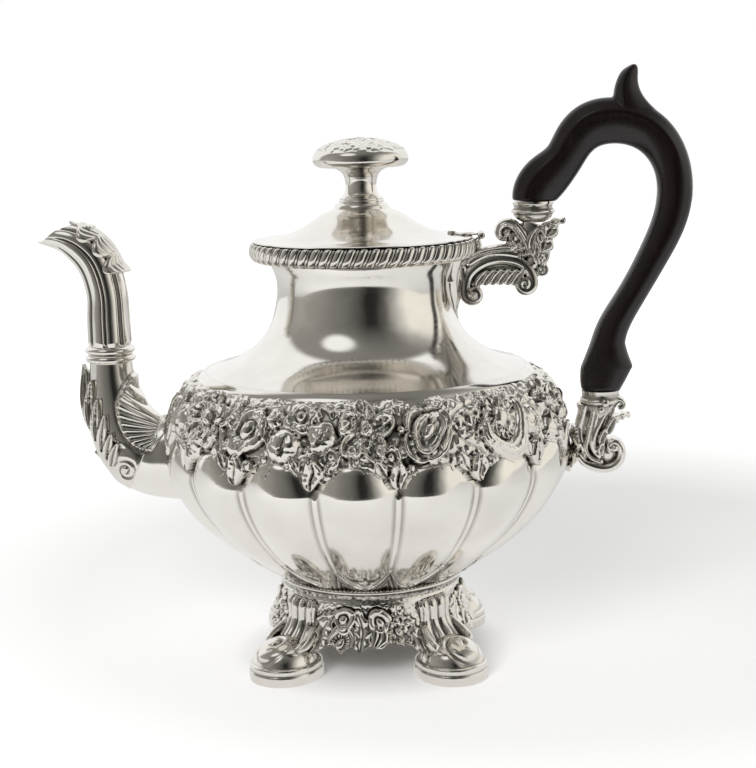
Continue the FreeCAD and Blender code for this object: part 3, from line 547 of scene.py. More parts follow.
STAIN_ROUGHNESS = 0.3  # how much rougher a full stain is
HAIR_DEPTH = 0.0001  # of the polishing marks, in metres
GRAIN_DEPTH = 0.0002  # of the wood's grain, in metres


class Wiring:
    """Short calls for adding and joining nodes of one tree."""

    def __init__(self, tree: bpy.types.NodeTree) -> None:
        """Start from an empty tree."""
        self.tree = tree
        tree.nodes.clear()

    def add(self, kind: str, inputs: dict | None = None, **settings: Any) -> bpy.types.Node:
        """Add a node.

        Args:
            kind: Node type after the common beginning of shader nodes.
            inputs: Values or sockets for its inputs, by name or index.
            settings: Properties of the node.

        Returns:
            The node.
        """
        node = self.tree.nodes.new(kind if kind.startswith("NodeGroup") else "ShaderNode" + kind)
        for name, value in settings.items():
            setattr(node, name, value)
        for name, value in (inputs or {}).items():
            if isinstance(value, NodeSocket):
                self.tree.links.new(value, node.inputs[name])
            else:
                node.inputs[name].default_value = value
        return node

    def math(self, operation: str, *values: Any) -> NodeSocket:
        """Result of one sum on values or sockets."""
        return self.add("Math", dict(enumerate(values)), operation=operation).outputs[0]

    def vector(self, operation: str, *values: Any) -> NodeSocket:
        """Number that comes of two vectors."""
        node = self.add("VectorMath", dict(enumerate(values)), operation=operation)
        return node.outputs["Value"]

    def blend(self, share: Any, first: Any, second: Any) -> NodeSocket:
        """Colour between two colours."""
        return self.add("Mix", {0: share, 6: first, 7: second}, data_type="RGBA").outputs[2]

    def noise(self, place: Any, scale: Any, detail: float, roughness: float = 0.5) -> NodeSocket:
        """Soft noise over a place."""
        return self.add("TexNoise", {"Vector": place, "Scale": scale, "Detail": detail,
                                     "Roughness": roughness}).outputs["Fac"]

    def span(self, value: NodeSocket, low: float, high: float, first: float = 0.0, last: float = 1.0,
             kind: str = "LINEAR") -> NodeSocket:
        """Value moved from the range low to high to the range first to last."""
        return self.add("MapRange", {"Value": value, "From Min": low, "From Max": high, "To Min": first,
                                     "To Max": last}, interpolation_type=kind).outputs[0]


def open_group(name: str, inputs: dict[str, Any],
               outputs: dict[str, str]) -> tuple[Any, Wiring, Any, Any]:
    """Start a shader node group.

    Args:
        name: Name of the group.
        inputs: Default value of each input.
        outputs: Type of each output's socket.

    Returns:
        The group, its wiring, the outputs of its input node and the inputs of its output node.
    """
    group = bpy.data.node_groups.new(name, "ShaderNodeTree")
    wiring = Wiring(group)
    for title, value in inputs.items():
        kind = "NodeSocketFloat" if isinstance(value, float) else "NodeSocketColor"
        kind = "NodeSocketVector" if value is None else kind
        socket = group.interface.new_socket(title, in_out="INPUT", socket_type=kind)
        if value is not None:
            socket.default_value = value
    for title, kind in outputs.items():
        group.interface.new_socket(title, in_out="OUTPUT", socket_type=kind)
    return group, wiring, wiring.add("NodeGroupInput").outputs, wiring.add("NodeGroupOutput").inputs


def tarnish_and_shade_group() -> Any:
    """Dark oxide and painted shade that gather in hollows, with cloudy edges; the wood uses it for its
    darker grain.
    """
    group, wiring, given, result = open_group(
        "tarnish_and_shade",
        {"Place": None, "Hollow": 0.0, "Gather": 1.0, "Cloud": 60.0,
         "Bright": (0.9, 0.9, 0.9, 1.0), "Stain": (0.1, 0.1, 0.1, 1.0)},
        {"Colour": "NodeSocketColor", "Stained_and_shaded": "NodeSocketFloat"})
    mist = wiring.noise(given["Place"], given["Cloud"], 5.0)
    lift = wiring.math("MULTIPLY", given["Hollow"], given["Gather"])
    uneven = wiring.math("MULTIPLY_ADD", mist, 0.5, -0.25)
    patchy = wiring.math("MULTIPLY_ADD", uneven, wiring.math("MINIMUM", lift, 1.0), lift)
    mask = wiring.add("Clamp", {"Value": patchy}).outputs[0]
    haze = wiring.math("MULTIPLY_ADD", mist, 0.3, -0.09)
    dimmed = wiring.blend(haze, given["Bright"], given["Stain"])
    wiring.tree.links.new(wiring.blend(mask, dimmed, given["Stain"]), result["Colour"])
    wiring.tree.links.new(mask, result["Stained_and_shaded"])
    return group


def polish_group() -> Any:
    """Hair-fine polishing marks and the smears of handling."""
    group, wiring, given, result = open_group(
        "polish_marks", {"Place": None, "Fine": 900.0, "Smear": 25.0},
        {"Height": "NodeSocketFloat", "Dull": "NodeSocketFloat"})
    stretch = wiring.add("Mapping", {"Vector": given["Place"], "Scale": (0.12, 0.12, 1.0)})
    hair = wiring.noise(stretch.outputs[0], given["Fine"], 3.0)
    smear = wiring.noise(given["Place"], given["Smear"], 6.0, 0.6)
    wiring.tree.links.new(hair, result["Height"])
    wiring.tree.links.new(wiring.math("MULTIPLY", smear, hair), result["Dull"])
    return group


def new_material(name: str) -> tuple[bpy.types.Material, Wiring, NodeSocket]:
    """Empty material, its wiring and its object coordinates."""
    material = bpy.data.materials.new(name)
    material.use_nodes = True
    wiring = Wiring(material.node_tree)
    return material, wiring, wiring.add("TexCoord").outputs["Object"]


@dataclass(frozen=True)
class Silver:
    """A silver finish: how bright, how rough and how far its hollows are darkened with oxide and painted
    shade.
    """

    slot: str
    bright: Triple
    stain_and_shade: Triple
    roughness: float
    smear: float
    gather: float
    scratch: float

    def material(self, tarnish_and_shade: Any, polish: Any) -> bpy.types.Material:
        """Build the material.

        Args:
            tarnish_and_shade: Group for the oxide and painted shade in hollows.
            polish: Group for the polishing marks.

        Returns:
            The material.
        """
        material, wiring, place = new_material(self.slot)
        # Deep points are painted darker, with oxide and shade alike, however the light falls on them.
        hollow = wiring.add("Attribute", attribute_name="hollow").outputs["Fac"]
        stain_and_shade = wiring.add("Group", {
            "Place": place, "Hollow": hollow, "Gather": self.gather, "Bright": (*self.bright, 1.0),
            "Stain": (*self.stain_and_shade, 1.0)}, node_tree=tarnish_and_shade)
        marks = wiring.add("Group", {"Place": place}, node_tree=polish)
        dull = wiring.math("MULTIPLY_ADD", marks.outputs["Dull"], self.smear, self.roughness)
        rough = wiring.math("MULTIPLY_ADD", stain_and_shade.outputs["Stained_and_shaded"], STAIN_ROUGHNESS, dull)
        bump = wiring.add("Bump", {
            "Strength": self.scratch, "Distance": HAIR_DEPTH, "Height": marks.outputs["Height"]})
        shader = wiring.add("BsdfPrincipled", {
            "Base Color": stain_and_shade.outputs["Colour"], "Metallic": 1.0, "Roughness": rough,
            "Normal": bump.outputs[0]})
        wiring.add("OutputMaterial", {"Surface": shader.outputs[0]})
        return material


@dataclass(frozen=True)
class Wood:
    """A close-grained dark wood with an oiled face."""

    slot: str
    dark: Triple
    warm: Triple
    roughness: float
    gather: float
    rub: float
    relief: float

    def material(self, tarnish_and_shade: Any, polish: Any) -> bpy.types.Material:
        """Build the material.

        Args:
            tarnish_and_shade: Group for the darker clouds of the wood.
            polish: Group for the rubbing marks.

        Returns:
            The material.
        """
        material, wiring, place = new_material(self.slot)
        lean = wiring.add("Mapping", {
            "Vector": place, "Rotation": (0.0, -0.5, 0.0), "Scale": (9.0, 9.0, 1.0)})
        grain = wiring.noise(lean.outputs[0], 60.0, 8.0, 0.65)
        stripes = wiring.add("Group", {
            "Place": place, "Hollow": wiring.math("POWER", grain, 2.2), "Gather": self.gather,
            "Bright": (*self.dark, 1.0), "Stain": (*self.warm, 1.0)}, node_tree=tarnish_and_shade)
        marks = wiring.add("Group", {"Place": place}, node_tree=polish)
        rough = wiring.math("MULTIPLY_ADD", marks.outputs["Dull"], self.rub, self.roughness)
        bump = wiring.add("Bump", {"Strength": self.relief, "Distance": GRAIN_DEPTH, "Height": grain})
        shader = wiring.add("BsdfPrincipled", {
            "Base Color": stripes.outputs["Colour"], "Roughness": rough, "Normal": bump.outputs[0],
            "Specular IOR Level": 0.5})
        wiring.add("OutputMaterial", {"Surface": shader.outputs[0]})
        return material


# The second colour of each silver finish is the dark of oxide and of painted shade in its hollows.
MIRROR = Silver("polished_silver", (0.9, 0.873, 0.825), (0.13, 0.112, 0.092), 0.055, 0.26, 0.9, 0.05)
CHASED = Silver("chased_silver", (0.85, 0.82, 0.768), (0.04, 0.035, 0.03), 0.085, 0.16, 1.6, 0.1)
GRIP_WOOD = Wood("dark_wood", (0.003, 0.0028, 0.003), (0.017, 0.008, 0.007), 0.2, 1.6, 0.25, 0.12)


class Workshop:
    """Makes pieces of the teapot from skins, dresses them and sets them on their bodies."""

    def __init__(self) -> None:
        """Make the shared groups and the materials."""
        tarnish_and_shade, polish = tarnish_and_shade_group(), polish_group()
        self.materials = {f.slot: f.material(tarnish_and_shade, polish) for f in (MIRROR, CHASED, GRIP_WOOD)}

    def piece(self, name: str, skin: Skin, *nodes: str, reach: int, depth: float,
              finish: Silver | Wood = CHASED, carrier: Carrier = Carrier.POT, voxel: float = 0.0,
              soften: int = 2, tint: Array | float = 0.0) -> None:
        """Make one piece that stands for CAD nodes.

        Args:
            name: Name of the piece.
            skin: Its shape.
            nodes: CAD nodes that it stands for.
            reach: How far round a point its hollow is judged, in edges.
            depth: Depth, in millimetres, that counts as a full hollow.
            finish: Its finish.
            carrier: The body that it rides on.
            voxel: Grain at which overlapping skins are cast into one, or 0 to leave them.
            soften: Number of times that a cast surface is smoothed.
            tint: Stain added at each point.
        """
        mesh = bpy.data.meshes.new(name)
        mesh.from_pydata((skin.points * MM).tolist(), [], skin.quads.tolist() + skin.tris.tolist())
        piece = bpy.data.objects.new(name, mesh)
        bpy.context.scene.collection.objects.link(piece)
        if voxel:
            self.cast(piece, voxel, soften)
        points = np.clip(self.wires(piece.data)[0], *np.array(CAD_BOX))
        piece.data.vertices.foreach_set("co", points.ravel())
        self.stain_and_shade(piece.data, reach, depth, tint)
        piece.data.shade_smooth()
        if not voxel:
            piece.data.set_sharp_from_angle(angle=CRISP)
        self.dress(piece, finish)
        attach(piece, carrier.value)
        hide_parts(*nodes)
        log.info("%s: %d points, rides on %s", name, len(piece.data.vertices), carrier.value)

    def keep(self, name: str, finish: Silver | Wood) -> None:
        """Dress a CAD node that stays as it is."""
        self.dress(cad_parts[name], finish)
        log.info("%s: kept, %s", name, finish.slot)

    def dress(self, piece: bpy.types.Object, finish: Silver | Wood) -> None:
        """Give a piece its material and its slot."""
        piece.data.materials.clear()
        piece.data.materials.append(self.materials[finish.slot])

    @staticmethod
    def cast(piece: bpy.types.Object, voxel: float, soften: int) -> None:
        """Fuse overlapping skins into one cast surface of the given grain."""
        remesh = piece.modifiers.new("cast", "REMESH")
        remesh.mode = "VOXEL"
        remesh.voxel_size = voxel * MM
        graph = bpy.context.evaluated_depsgraph_get()
        rough = piece.data
        piece.data = bpy.data.meshes.new_from_object(piece.evaluated_get(graph))
        piece.modifiers.clear()
        bpy.data.meshes.remove(rough)
        piece.data.name = piece.name
        points = Workshop.relaxed(*Workshop.wires(piece.data), soften)
        piece.data.vertices.foreach_set("co", points.ravel())

    @staticmethod
    def wires(mesh: bpy.types.Mesh) -> tuple[Array, Array]:
        """Points and edges of a mesh as arrays."""
        points = np.zeros(len(mesh.vertices) * 3)
        edges = np.zeros(len(mesh.edges) * 2, int)
        mesh.vertices.foreach_get("co", points)
        mesh.edges.foreach_get("vertices", edges)
        return points.reshape(-1, 3), edges.reshape(-1, 2)

    @staticmethod
    def relaxed(points: Array, edges: Array, passes: int) -> Array:
        """Points drawn to the mean of their neighbours, several times."""
        size = len(points)
        start, end = edges.T
        count = np.maximum(np.bincount(edges.ravel(), minlength=size), 1)
        for _ in range(passes):
            total = [np.bincount(start, k[end], size) + np.bincount(end, k[start], size)
                     for k in points.T]
            points = np.stack(total, 1) / count[:, None]
        return points

    @staticmethod
    def stain_and_shade(mesh: bpy.types.Mesh, reach: int, depth: float, tint: Array | float) -> None:
        """Write how deep each point lies below its surroundings as the hollow attribute, by which the
        silver is darkened with oxide and painted shade.
        """
        points, edges = Workshop.wires(mesh)
        normals = np.zeros(len(points) * 3)
        mesh.vertices.foreach_get("normal", normals)
        sunk = ((Workshop.relaxed(points, edges, reach) - points) * normals.reshape(-1, 3)).sum(1)
        hollow = np.clip(sunk / (depth * MM) + tint, 0, 1).astype(np.float32)
        mesh.attributes.new("hollow", "FLOAT", "POINT").data.foreach_set("value", hollow)


# Sub-assemblies


@dataclass
class Bowl:
    """Lobed bowl of raised sheet, with a bead in each crease and a chased calyx round its foot."""

    floor: float = 36.5
    belly: float = 84.5
    top: float = 98.0
    radius: float = 83.3
    depth: float = 58.5
    fullness: float = 1.6
    lobes: int = 16
    crease: float = 4.8
    bead: float = 1.25
    bead_half: float = 0.95
    wall: float = 1.4
    wall_slope: float = 1.3
    calyx_rise: float = 10.5
    calyx_relief: float = 1.5
    calyx_stain: float = 0.75
    arch_rise: float = 12.5
    arch_drop: float = 7.0
    arch_roll: float = 4.1

    def crest(self, z: Array) -> Array:
        """Radius of the lobes' crests at a height."""
        drop = np.clip((self.belly - z) / self.depth, 0, 1)
        return self.radius * (1 - drop ** self.fullness) ** (1 / self.fullness)

    def across(self, around: Array) -> Array:
        """Place across a lobe: 0 on its crest and 1 in the crease."""
        return between(around, TAU / self.lobes)

    def calyx_edge(self, around: Array) -> Array:
        """Height of the upper edge of the leaves round the foot."""
        return self.floor + 2.0 + self.calyx_rise * self.across(around) ** 2.2

    def surface(self, around: Array, z: Array) -> Array:
        """Radius of the outer face.

        Args:
            around: Angles about the axis.
            z: Heights.

        Returns:
            Radii, in millimetres.
        """
        share, crest = self.across(around), self.crest(z)
        scale = crest / self.radius
        away = (1 - share) * math.pi / self.lobes * crest
        line = self.bead * scale * bell(away, self.bead_half * (0.5 + 0.5 * scale))
        line = line * ramp(self.belly + 5, self.belly - 3, z)
        above = z - self.calyx_edge(around)
        vein = np.abs(np.cos(math.pi * (away / 1.7 + (z - self.floor) / 4.5)))
        chased = ramp(0.4, -0.6, above) * (0.9 * vein - 0.2) + 0.9 * bell(above, 0.5)
        arch = np.clip((z - self.belly) / (self.arch_rise - self.arch_drop * share ** 2), 0, 1)
        roll = self.arch_roll * (1 - np.sqrt(1 - arch ** 2))
        return crest - self.crease * scale * share ** 2 + line + self.calyx_relief * chased - roll

    def make(self, shop: Workshop) -> None:
        """Build the bowl."""
        height = np.linspace(self.floor, self.top, 600)
        z = evenly(np.stack([self.crest(height), height], 1), 190)[:, 1:]
        around = circle(self.lobes * 48)
        outer = self.surface(around, z)
        inner = self.surface(around, z[::-4]) - self.wall * self.wall_slope
        heart = np.linspace(0.02, 0.97, 5)[:, None]
        radius = np.vstack([outer[:1] * heart, outer, inner, inner[-1:] * heart[::-1]])
        ground = self.floor + self.wall
        level = np.vstack([
            np.full((5, 1), self.floor), z, np.maximum(z[::-4], ground), np.full((5, 1), ground)])
        leaves = self.calyx_stain * ramp(0.6, -0.6, level - self.calyx_edge(around))
        shop.piece("bowl_lobed", Skin.over(about_axis(radius, around, level)), "bowl",
                   reach=8, depth=0.4, finish=MIRROR, tint=np.append(leaves.ravel(), (0, 0)))


@dataclass
class Belt:
    """Belt of flowers chased in high relief, with leaf tips that hang over the bowl's creases."""

    bowl: Bowl
    reference: float = 82.0
    repeats: int = 3
    columns: int = 1800
    rows: int = 140
    relief: float = 4.9
    wall: float = 1.8
    wall_slope: float = 1.6
    foot: float = 90.5
    brim: float = 5.4
    brim_dip: float = 7.0
    drift: float = 0.45
    drift_grain: float = 22.0
    ground: float = 0.3
    stipple: float = 0.12
    proud: float = 0.35
    fill: int = 80

    # Radius and height of the ground from behind the lobes to the shoulder step.
    GROUND = ((79, 80), (79.1, 85), (79.2, 90.5), (79.2, 94), (78.8, 98.5), (77.6, 103.5),
              (75.2, 108.8), (72.4, 113), (70, 116.4), (68.4, 118))
    # Small ornaments between the flowers: how large each kind is, the kinds to draw from, and the
    # ranges of distance along, distance up, size and relief.
    FILLERS = {Motif.LEAF: 1.0, Motif.SCROLL: 0.65, Motif.BUD: 0.3}
    DRAWN = [Motif.LEAF, Motif.LEAF, Motif.LEAF, Motif.SCROLL, Motif.BUD]
    ALONG, UP, SIZE, RELIEF = (-86, 86), (6, 28), (4.2, 8.2), (0.4, 0.66)
    # Leaf tips over a crease: kind, distance along from it, distance up, radius, turn and relief.
    TIPS = ((Motif.DROP, 0, 2.6, 5.6, -90, 0.85), (Motif.DROP, -6.4, 5.6, 3.6, -55, 0.75),
            (Motif.BUD, 5.4, 4.8, 2.0, 0, 0.8), (Motif.BUD, 0.6, 7.2, 1.7, 0, 0.95))
    # Main ornaments by kind: distance along from the front and up from the foot, radius, turn, relief.
    PLACES = {
        Motif.LEAF: (
            (14, 27, 8, 15, 0.6), (-6, 27, 8, 170, 0.6), (-41, 26, 9, 10, 0.62), (84, 24, 10, 125, 0.7),
            (84, 9, 9, 60, 0.62), (-57, 25, 10, 60, 0.7), (-59, 9, 9, 115, 0.62), (8, 8, 8, 170, 0.6),
            (-20, 8, 8, 20, 0.6), (38, 8, 9, 165, 0.6), (57, 28, 9, 175, 0.55), (72, 28, 8, 10, 0.55),
            (44, 23, 11, 25, 0.8), (45, 12, 9, -35, 0.75)),
        Motif.SCROLL: (
            (-22, 24, 8, 0, 0.85), (14, 9, 5, 90, 0.75), (-9, 9, 5, 0, 0.75), (-45, 17, 10.5, 20, 0.95)),
        Motif.BUD: (
            (-13, 16.5, 6, -20, 0.85), (36, 27, 5, 60, 0.7), (80, 16, 6, 30, 0.85),
            (-34, 22, 4.5, 30, 0.75), (96, 9, 5.5, 0, 0.8), (-28, 12.5, 6.8, 10, 0.95)),
        Motif.SHELL: ((65, 15.5, 13, -20, 1.0),),
        Motif.BLOSSOM: ((101, 19, 11.5, 25, 1.0), (4, 19, 12.2, 90, 1.0)),
        Motif.ROSE: ((28.5, 16.5, 11, 10, 1.0),),
    }

    def make(self, shop: Workshop) -> None:
        """Build the belt."""
        line = evenly(smooth(self.GROUND, 300), self.rows)
        radius, z = line[:, :1], line[:, 1:]
        up = travel(line)
        up -= np.interp(self.foot, line[:, 1], up)
        around = circle(self.columns)
        along = (around + math.pi / 2) % TAU * self.reference
        field = self.heights(*np.broadcast_arrays(along, up[:, None]))
        way = heading(line)
        out_r, out_z = way[:, 1:], -way[:, :1]
        lobed = np.where(z < self.bowl.top, self.bowl.surface(around, z), radius)
        front_r = np.where(field > 0, np.maximum(radius + out_r * field, lobed + self.proud),
                           np.minimum(lobed, radius) - 1)
        front_z = z + out_z * np.maximum(field, 0)
        back = np.arange(self.rows - 1, -1, -12)
        back_r = np.broadcast_to(radius[back] - self.wall * self.wall_slope, (len(back), self.columns))
        back_z = np.broadcast_to(z[back] - out_z[back] * self.wall, back_r.shape)
        all_r = np.minimum(np.vstack([front_r, back_r]), self.bowl.radius)
        rows = about_axis(all_r, around, np.vstack([front_z, back_z]))
        shop.piece("floral_belt_chased", Skin.over(rows, ring=True), "floral_belt", "belt_blossoms",
                   reach=26, depth=1.45)

    def heights(self, along: Array, above: Array) -> Array:
        """Relief of the whole belt.

        Args:
            along: Distance round the belt from its front.
            above: Distance up from the belt's foot.

        Returns:
            Heights over the ground, and below it where the belt lies behind the bowl.
        """
        shape = along.shape
        period = TAU * self.reference / self.repeats
        lobe = TAU * self.reference / self.bowl.lobes
        brim = self.brim - self.brim_dip * between(along, lobe) ** 2
        along = along + self.drift * cloud(shape, self.drift_grain, 3)
        above = above + self.drift * cloud(shape, self.drift_grain, 4)
        field = np.where(above > brim, self.ground + self.stipple * cloud(shape, 2.5, 6), -1.0)
        chance = np.random.default_rng(5)
        for _ in range(self.fill):
            x, y, turn = chance.uniform(*self.ALONG), chance.uniform(*self.UP), chance.uniform(0, 360)
            kind = chance.choice(self.DRAWN)
            size = chance.uniform(*self.SIZE) * self.FILLERS[kind]
            place = (kind, x, y, size, turn, chance.uniform(*self.RELIEF))
            lay_motif(field, along, above, place, period, self.relief)
        for kind, x, *rest in self.TIPS:
            lay_motif(field, along, above, (kind, lobe / 2 + x, *rest), lobe, self.relief)
        for kind, places in self.PLACES.items():
            for place in places:
                lay_motif(field, along, above, (kind, *place), period, self.relief)
        worn = 0.09 * cloud(shape, 6, 8) + 0.085 * cloud(shape, 2.5, 7)
        top = ramp(31, 24, above) * 0.5 + 0.5
        return np.where(field > 0, np.maximum(field * top + worn, 0.05), field)


@dataclass
class Neck:
    """Shoulder and neck of one raised sheet."""

    wall: float = 1.4

    # Radius and height of the step above the belt, and of the sheet from there to the mouth.
    STEP = ((68.9, 117.4), (68.7, 118.2), (67.6, 119.4), (66.8, 120.2), (66.2, 120.7), (65.7, 120.6))
    SHEET = ((65.3, 120.5), (60, 122.1), (54.9, 124), (49.9, 126.6), (43.7, 131.2), (39.7, 136.2),
             (37.4, 141.1), (36.1, 146), (35.2, 151), (35.1, 155), (35.8, 159), (37.2, 163),
             (37.5, 167), (37.5, 171.6))

    def profile(self) -> Array:
        """Outer profile from the step to the mouth."""
        return np.vstack([self.STEP, smooth(self.SHEET, 110)])

    def make(self, shop: Workshop) -> None:
        """Build the shoulder and neck."""
        rows = revolve(shell_loop(self.profile(), self.wall), 320)
        shop.piece("shoulder_neck_raised", Skin.over(rows, ring=True), "shoulder_neck",
                   reach=6, depth=0.9, finish=MIRROR)


@dataclass
class Rim:
    """Gadrooned rim: slanted lobes with a thin reed between each pair."""

    count: int = 60
    inner: float = 37.75
    swell: float = 8.2
    middle: float = 168.2
    half_height: float = 4.05
    back_half: float = 3.0
    depth: float = 1.25
    slant: float = 2.2
    lobe_half: float = 0.36
    reed_middle: float = 0.86
    reed_half: float = 0.13
    reed_height: float = 0.6

    def make(self, shop: Workshop) -> None:
        """Build the rim."""
        around = circle(self.count * 18)
        bend = np.linspace(-math.pi / 2, math.pi / 2, 34)[:, None]
        phase = self.count * (around - math.radians(self.slant) * np.sin(bend)) / TAU % 1
        reed = self.reed_height * mound(phase - self.reed_middle, self.reed_half)
        crest = np.maximum(mound(phase - self.lobe_half, self.lobe_half), reed)
        round_off = np.cos(bend) ** np.where(bend > 0, 0.14, 0.5)
        lobe = self.depth * (crest - 1) * round_off
        radius = self.inner + self.swell * round_off + lobe
        height = self.middle + (self.half_height + 0.3 * lobe) * np.sin(bend)
        back = np.broadcast_to([[self.back_half], [-self.back_half]], (2, len(around)))
        rows = about_axis(np.vstack([radius, np.full(back.shape, self.inner)]), around,
                          np.vstack([height, self.middle + back]))
        shop.piece("rim_gadrooned", Skin.over(rows, ring=True), "rim_gadroon", reach=6, depth=0.22)


@dataclass
class Lid:
    """Concave lid with its flange, and a turned finial with a chased button."""

    wall: float = 1.2
    seat: float = 172.4
    button_radius: float = 19.3
    button_top: float = 212.6
    button_brim: float = 205.6
    button_foot: float = 197.6
    button_edge: float = 0.955

    # Radius and height of the dome and its edge, of the stem and of the button's underside.
    DOME = ((2.3, 185.6), (6, 185.55), (10.2, 185.2), (13.6, 184.0), (16.6, 182.6), (19.2, 180.9),
            (21.9, 179.1), (25.2, 177.2), (30.6, 175.2), (37, 173.7), (43.4, 173.1))
    EDGE = ((44.1, 173.05), (44.45, 172.8), (44.4, 172.45))
    STEM = ((11.2, 184.9), (10.8, 186), (9.8, 187), (8.9, 187.5), (9.1, 188), (8.7, 188.4), (8.8, 188.8),
            (8.3, 189.3), (7.2, 190.2), (6.5, 191.8), (6.2, 193.8), (6.3, 195.6), (6.8, 197.55))
    UNDER = ((6.8, 197.6), (7.4, 198.8), (8.8, 200), (11, 201), (14.4, 201.2), (17.2, 201.7),
             (18.8, 203), (19.3, 204.7), (18.9, 206.4))
    # Leaves in each eighth of the button: distance out, angle, radius and lean.
    LEAVES = ((12, 0, 6.6, 20), (15, 22, 4.0, 75), (9.4, 24, 3.6, -30))

    def make(self, shop: Workshop) -> None:
        """Build the lid."""
        loop = shell_loop(np.vstack([smooth(self.DOME, 90), self.EDGE])[::-1], self.wall)
        loop[:, 1] = np.maximum(loop[:, 1], self.seat)
        shop.piece("lid_dome_raised", Skin.over(revolve(loop, 320), ring=True), "lid_dome",
                   reach=6, depth=0.9, finish=MIRROR, carrier=Carrier.LID)
        shop.piece("finial_stem_turned", Skin.over(spindle(smooth(self.STEM, 80), 96)), "finial_stem",
                   reach=4, depth=0.5, finish=MIRROR, carrier=Carrier.LID)
        self.make_button(shop)
        for name in ("lid_flange", "finial_stud", "finial_nut"):
            shop.keep(name, MIRROR)

    def make_button(self, shop: Workshop) -> None:
        """Build the finial's button with low leaves chased on its dome."""
        around = circle(360)
        share = np.linspace(self.button_edge, 0.01, 90)[:, None]
        radius = self.button_radius * share
        height = self.button_brim + (self.button_top - self.button_brim) * (1 - share ** 2) ** 0.6
        along, up = radius * np.cos(around), radius * np.sin(around)
        field = np.zeros(along.shape)
        for eighth in range(0, 360, 45):
            for out, shift, size, lean in self.LEAVES:
                angle = math.radians(eighth + shift)
                spot = (out * math.cos(angle), out * math.sin(angle))
                lay_motif(field, along, up, (Motif.LEAF, *spot, size, eighth + shift + lean, 1.0))
        lay_motif(field, along, up, (Motif.BLOSSOM, 0, 0, 6.4, 0, 0.9))
        field = 0.6 * field + 0.05 * cloud(field.shape, 3, 12)
        field *= ramp(self.button_edge, 0.9, share)
        under = revolve(np.vstack([[(AXIS, self.button_foot)], smooth(self.UNDER, 60)]), 360)
        rows = np.vstack([under, np.stack([along, up, height + field], -1)])
        shop.piece("finial_button_chased", Skin.over(rows), "finial_button", reach=10, depth=0.42,
                   carrier=Carrier.LID)


@dataclass
class Hinge:
    """Lid hinge: knuckles in a row on a pin, a drop on the rim and a pointed leaf on the lid."""

    x: float = 47.9
    z: float = 173.25
    knuckle: float = 1.55
    side: float = 4.1
    side_half: float = 1.95
    middle_half: float = 2.0

    # Middle and half sizes of the drop, and knots (x, z) of the leaf's midrib.
    DROP = ((46.3, 0, 169.4), (1.9, 5.2, 3.0))
    MIDRIB = ((47, 173.6), (43, 173.6), (38.5, 173.8), (34.2, 174.5))

    def barrel(self, y: float, half: float) -> Skin:
        """One knuckle."""
        return ball((self.x, y, self.z), (self.knuckle, half, self.knuckle))

    def make(self, shop: Workshop) -> None:
        """Build the hinge."""
        cast = {"voxel": 0.2, "reach": 6, "depth": 0.3}
        body = [*(self.barrel(y, self.side_half) for y in (-self.side, self.side)), ball(*self.DROP)]
        shop.piece("hinge_body_knuckles", Skin.joined(body), "hinge_body_leaf", **cast)
        blade = leaf(spine_in_plane(self.MIDRIB), ACROSS, 3.0, 1.1, 2, 0.3)
        shop.piece("hinge_lid_leaf_cast", Skin.joined([self.barrel(0, self.middle_half), blade]),
                   "hinge_lid_leaf", carrier=Carrier.LID, **cast)
        shop.keep("hinge_pin", CHASED)


class Tube:
    """Pipe of oval sections along a curve in the middle plane."""

    UNDER = 0.6  # how far a sheet on the pipe reaches into it

    def __init__(self, *rows: tuple) -> None:
        """Fit the curve through rows of middle (x, z), half depth and half width."""
        self.track = smooth(rows, 400)
        self.way = heading(self.track[:, :2])

    def surface(self, share: Array, turn: Array, grow: Any = 0.0) -> Array:
        """Points on the pipe.

        Args:
            share: Distance along the pipe, 0 to 1.
            turn: Angle round the section, 0 on the outer side.
            grow: Extra thickness.

        Returns:
            The points.
        """
        at = np.linspace(0, 1, len(self.track))
        x, z, deep, wide, way_x, way_z = (
            np.interp(share, at, column) for column in (*self.track.T, *self.way.T))
        u = (deep + grow) * np.cos(turn)
        return np.stack([x - way_z * u, (wide + grow) * np.sin(turn), z + way_x * u], -1)

    def on_side(self, knots: Any, lift: float) -> Array:
        """Spine through (x, z) knots, laid on the near face at a height over it."""
        spots = smooth(knots, 30)
        near = ((spots[:, None] - self.track[None, :, :2]) ** 2).sum(-1).argmin(1)
        middle, deep, wide = self.track[near, :2], self.track[near, 2], self.track[near, 3]
        off = spots - middle
        u = off[:, 1] * self.way[near, 0] - off[:, 0] * self.way[near, 1]
        return np.insert(spots, 1, -(wide + lift) * mound(u, deep + lift), 1)

    def sheet(self, middle: float, share: Array, half: Array, grow: Array) -> Skin:
        """Leaf sheet wrapped round one side of the pipe.

        Args:
            middle: Angle round the section of the sheet's midrib.
            share: Place of each row along the pipe.
            half: Half angle that each row covers.
            grow: Thickness, as rows along it by columns across it.

        Returns:
            The closed skin.
        """
        turn = middle + np.linspace(-1, 1, grow.shape[1]) * half
        return Skin.sheet(self.surface(share, turn, grow), self.surface(share, turn, -self.UNDER))


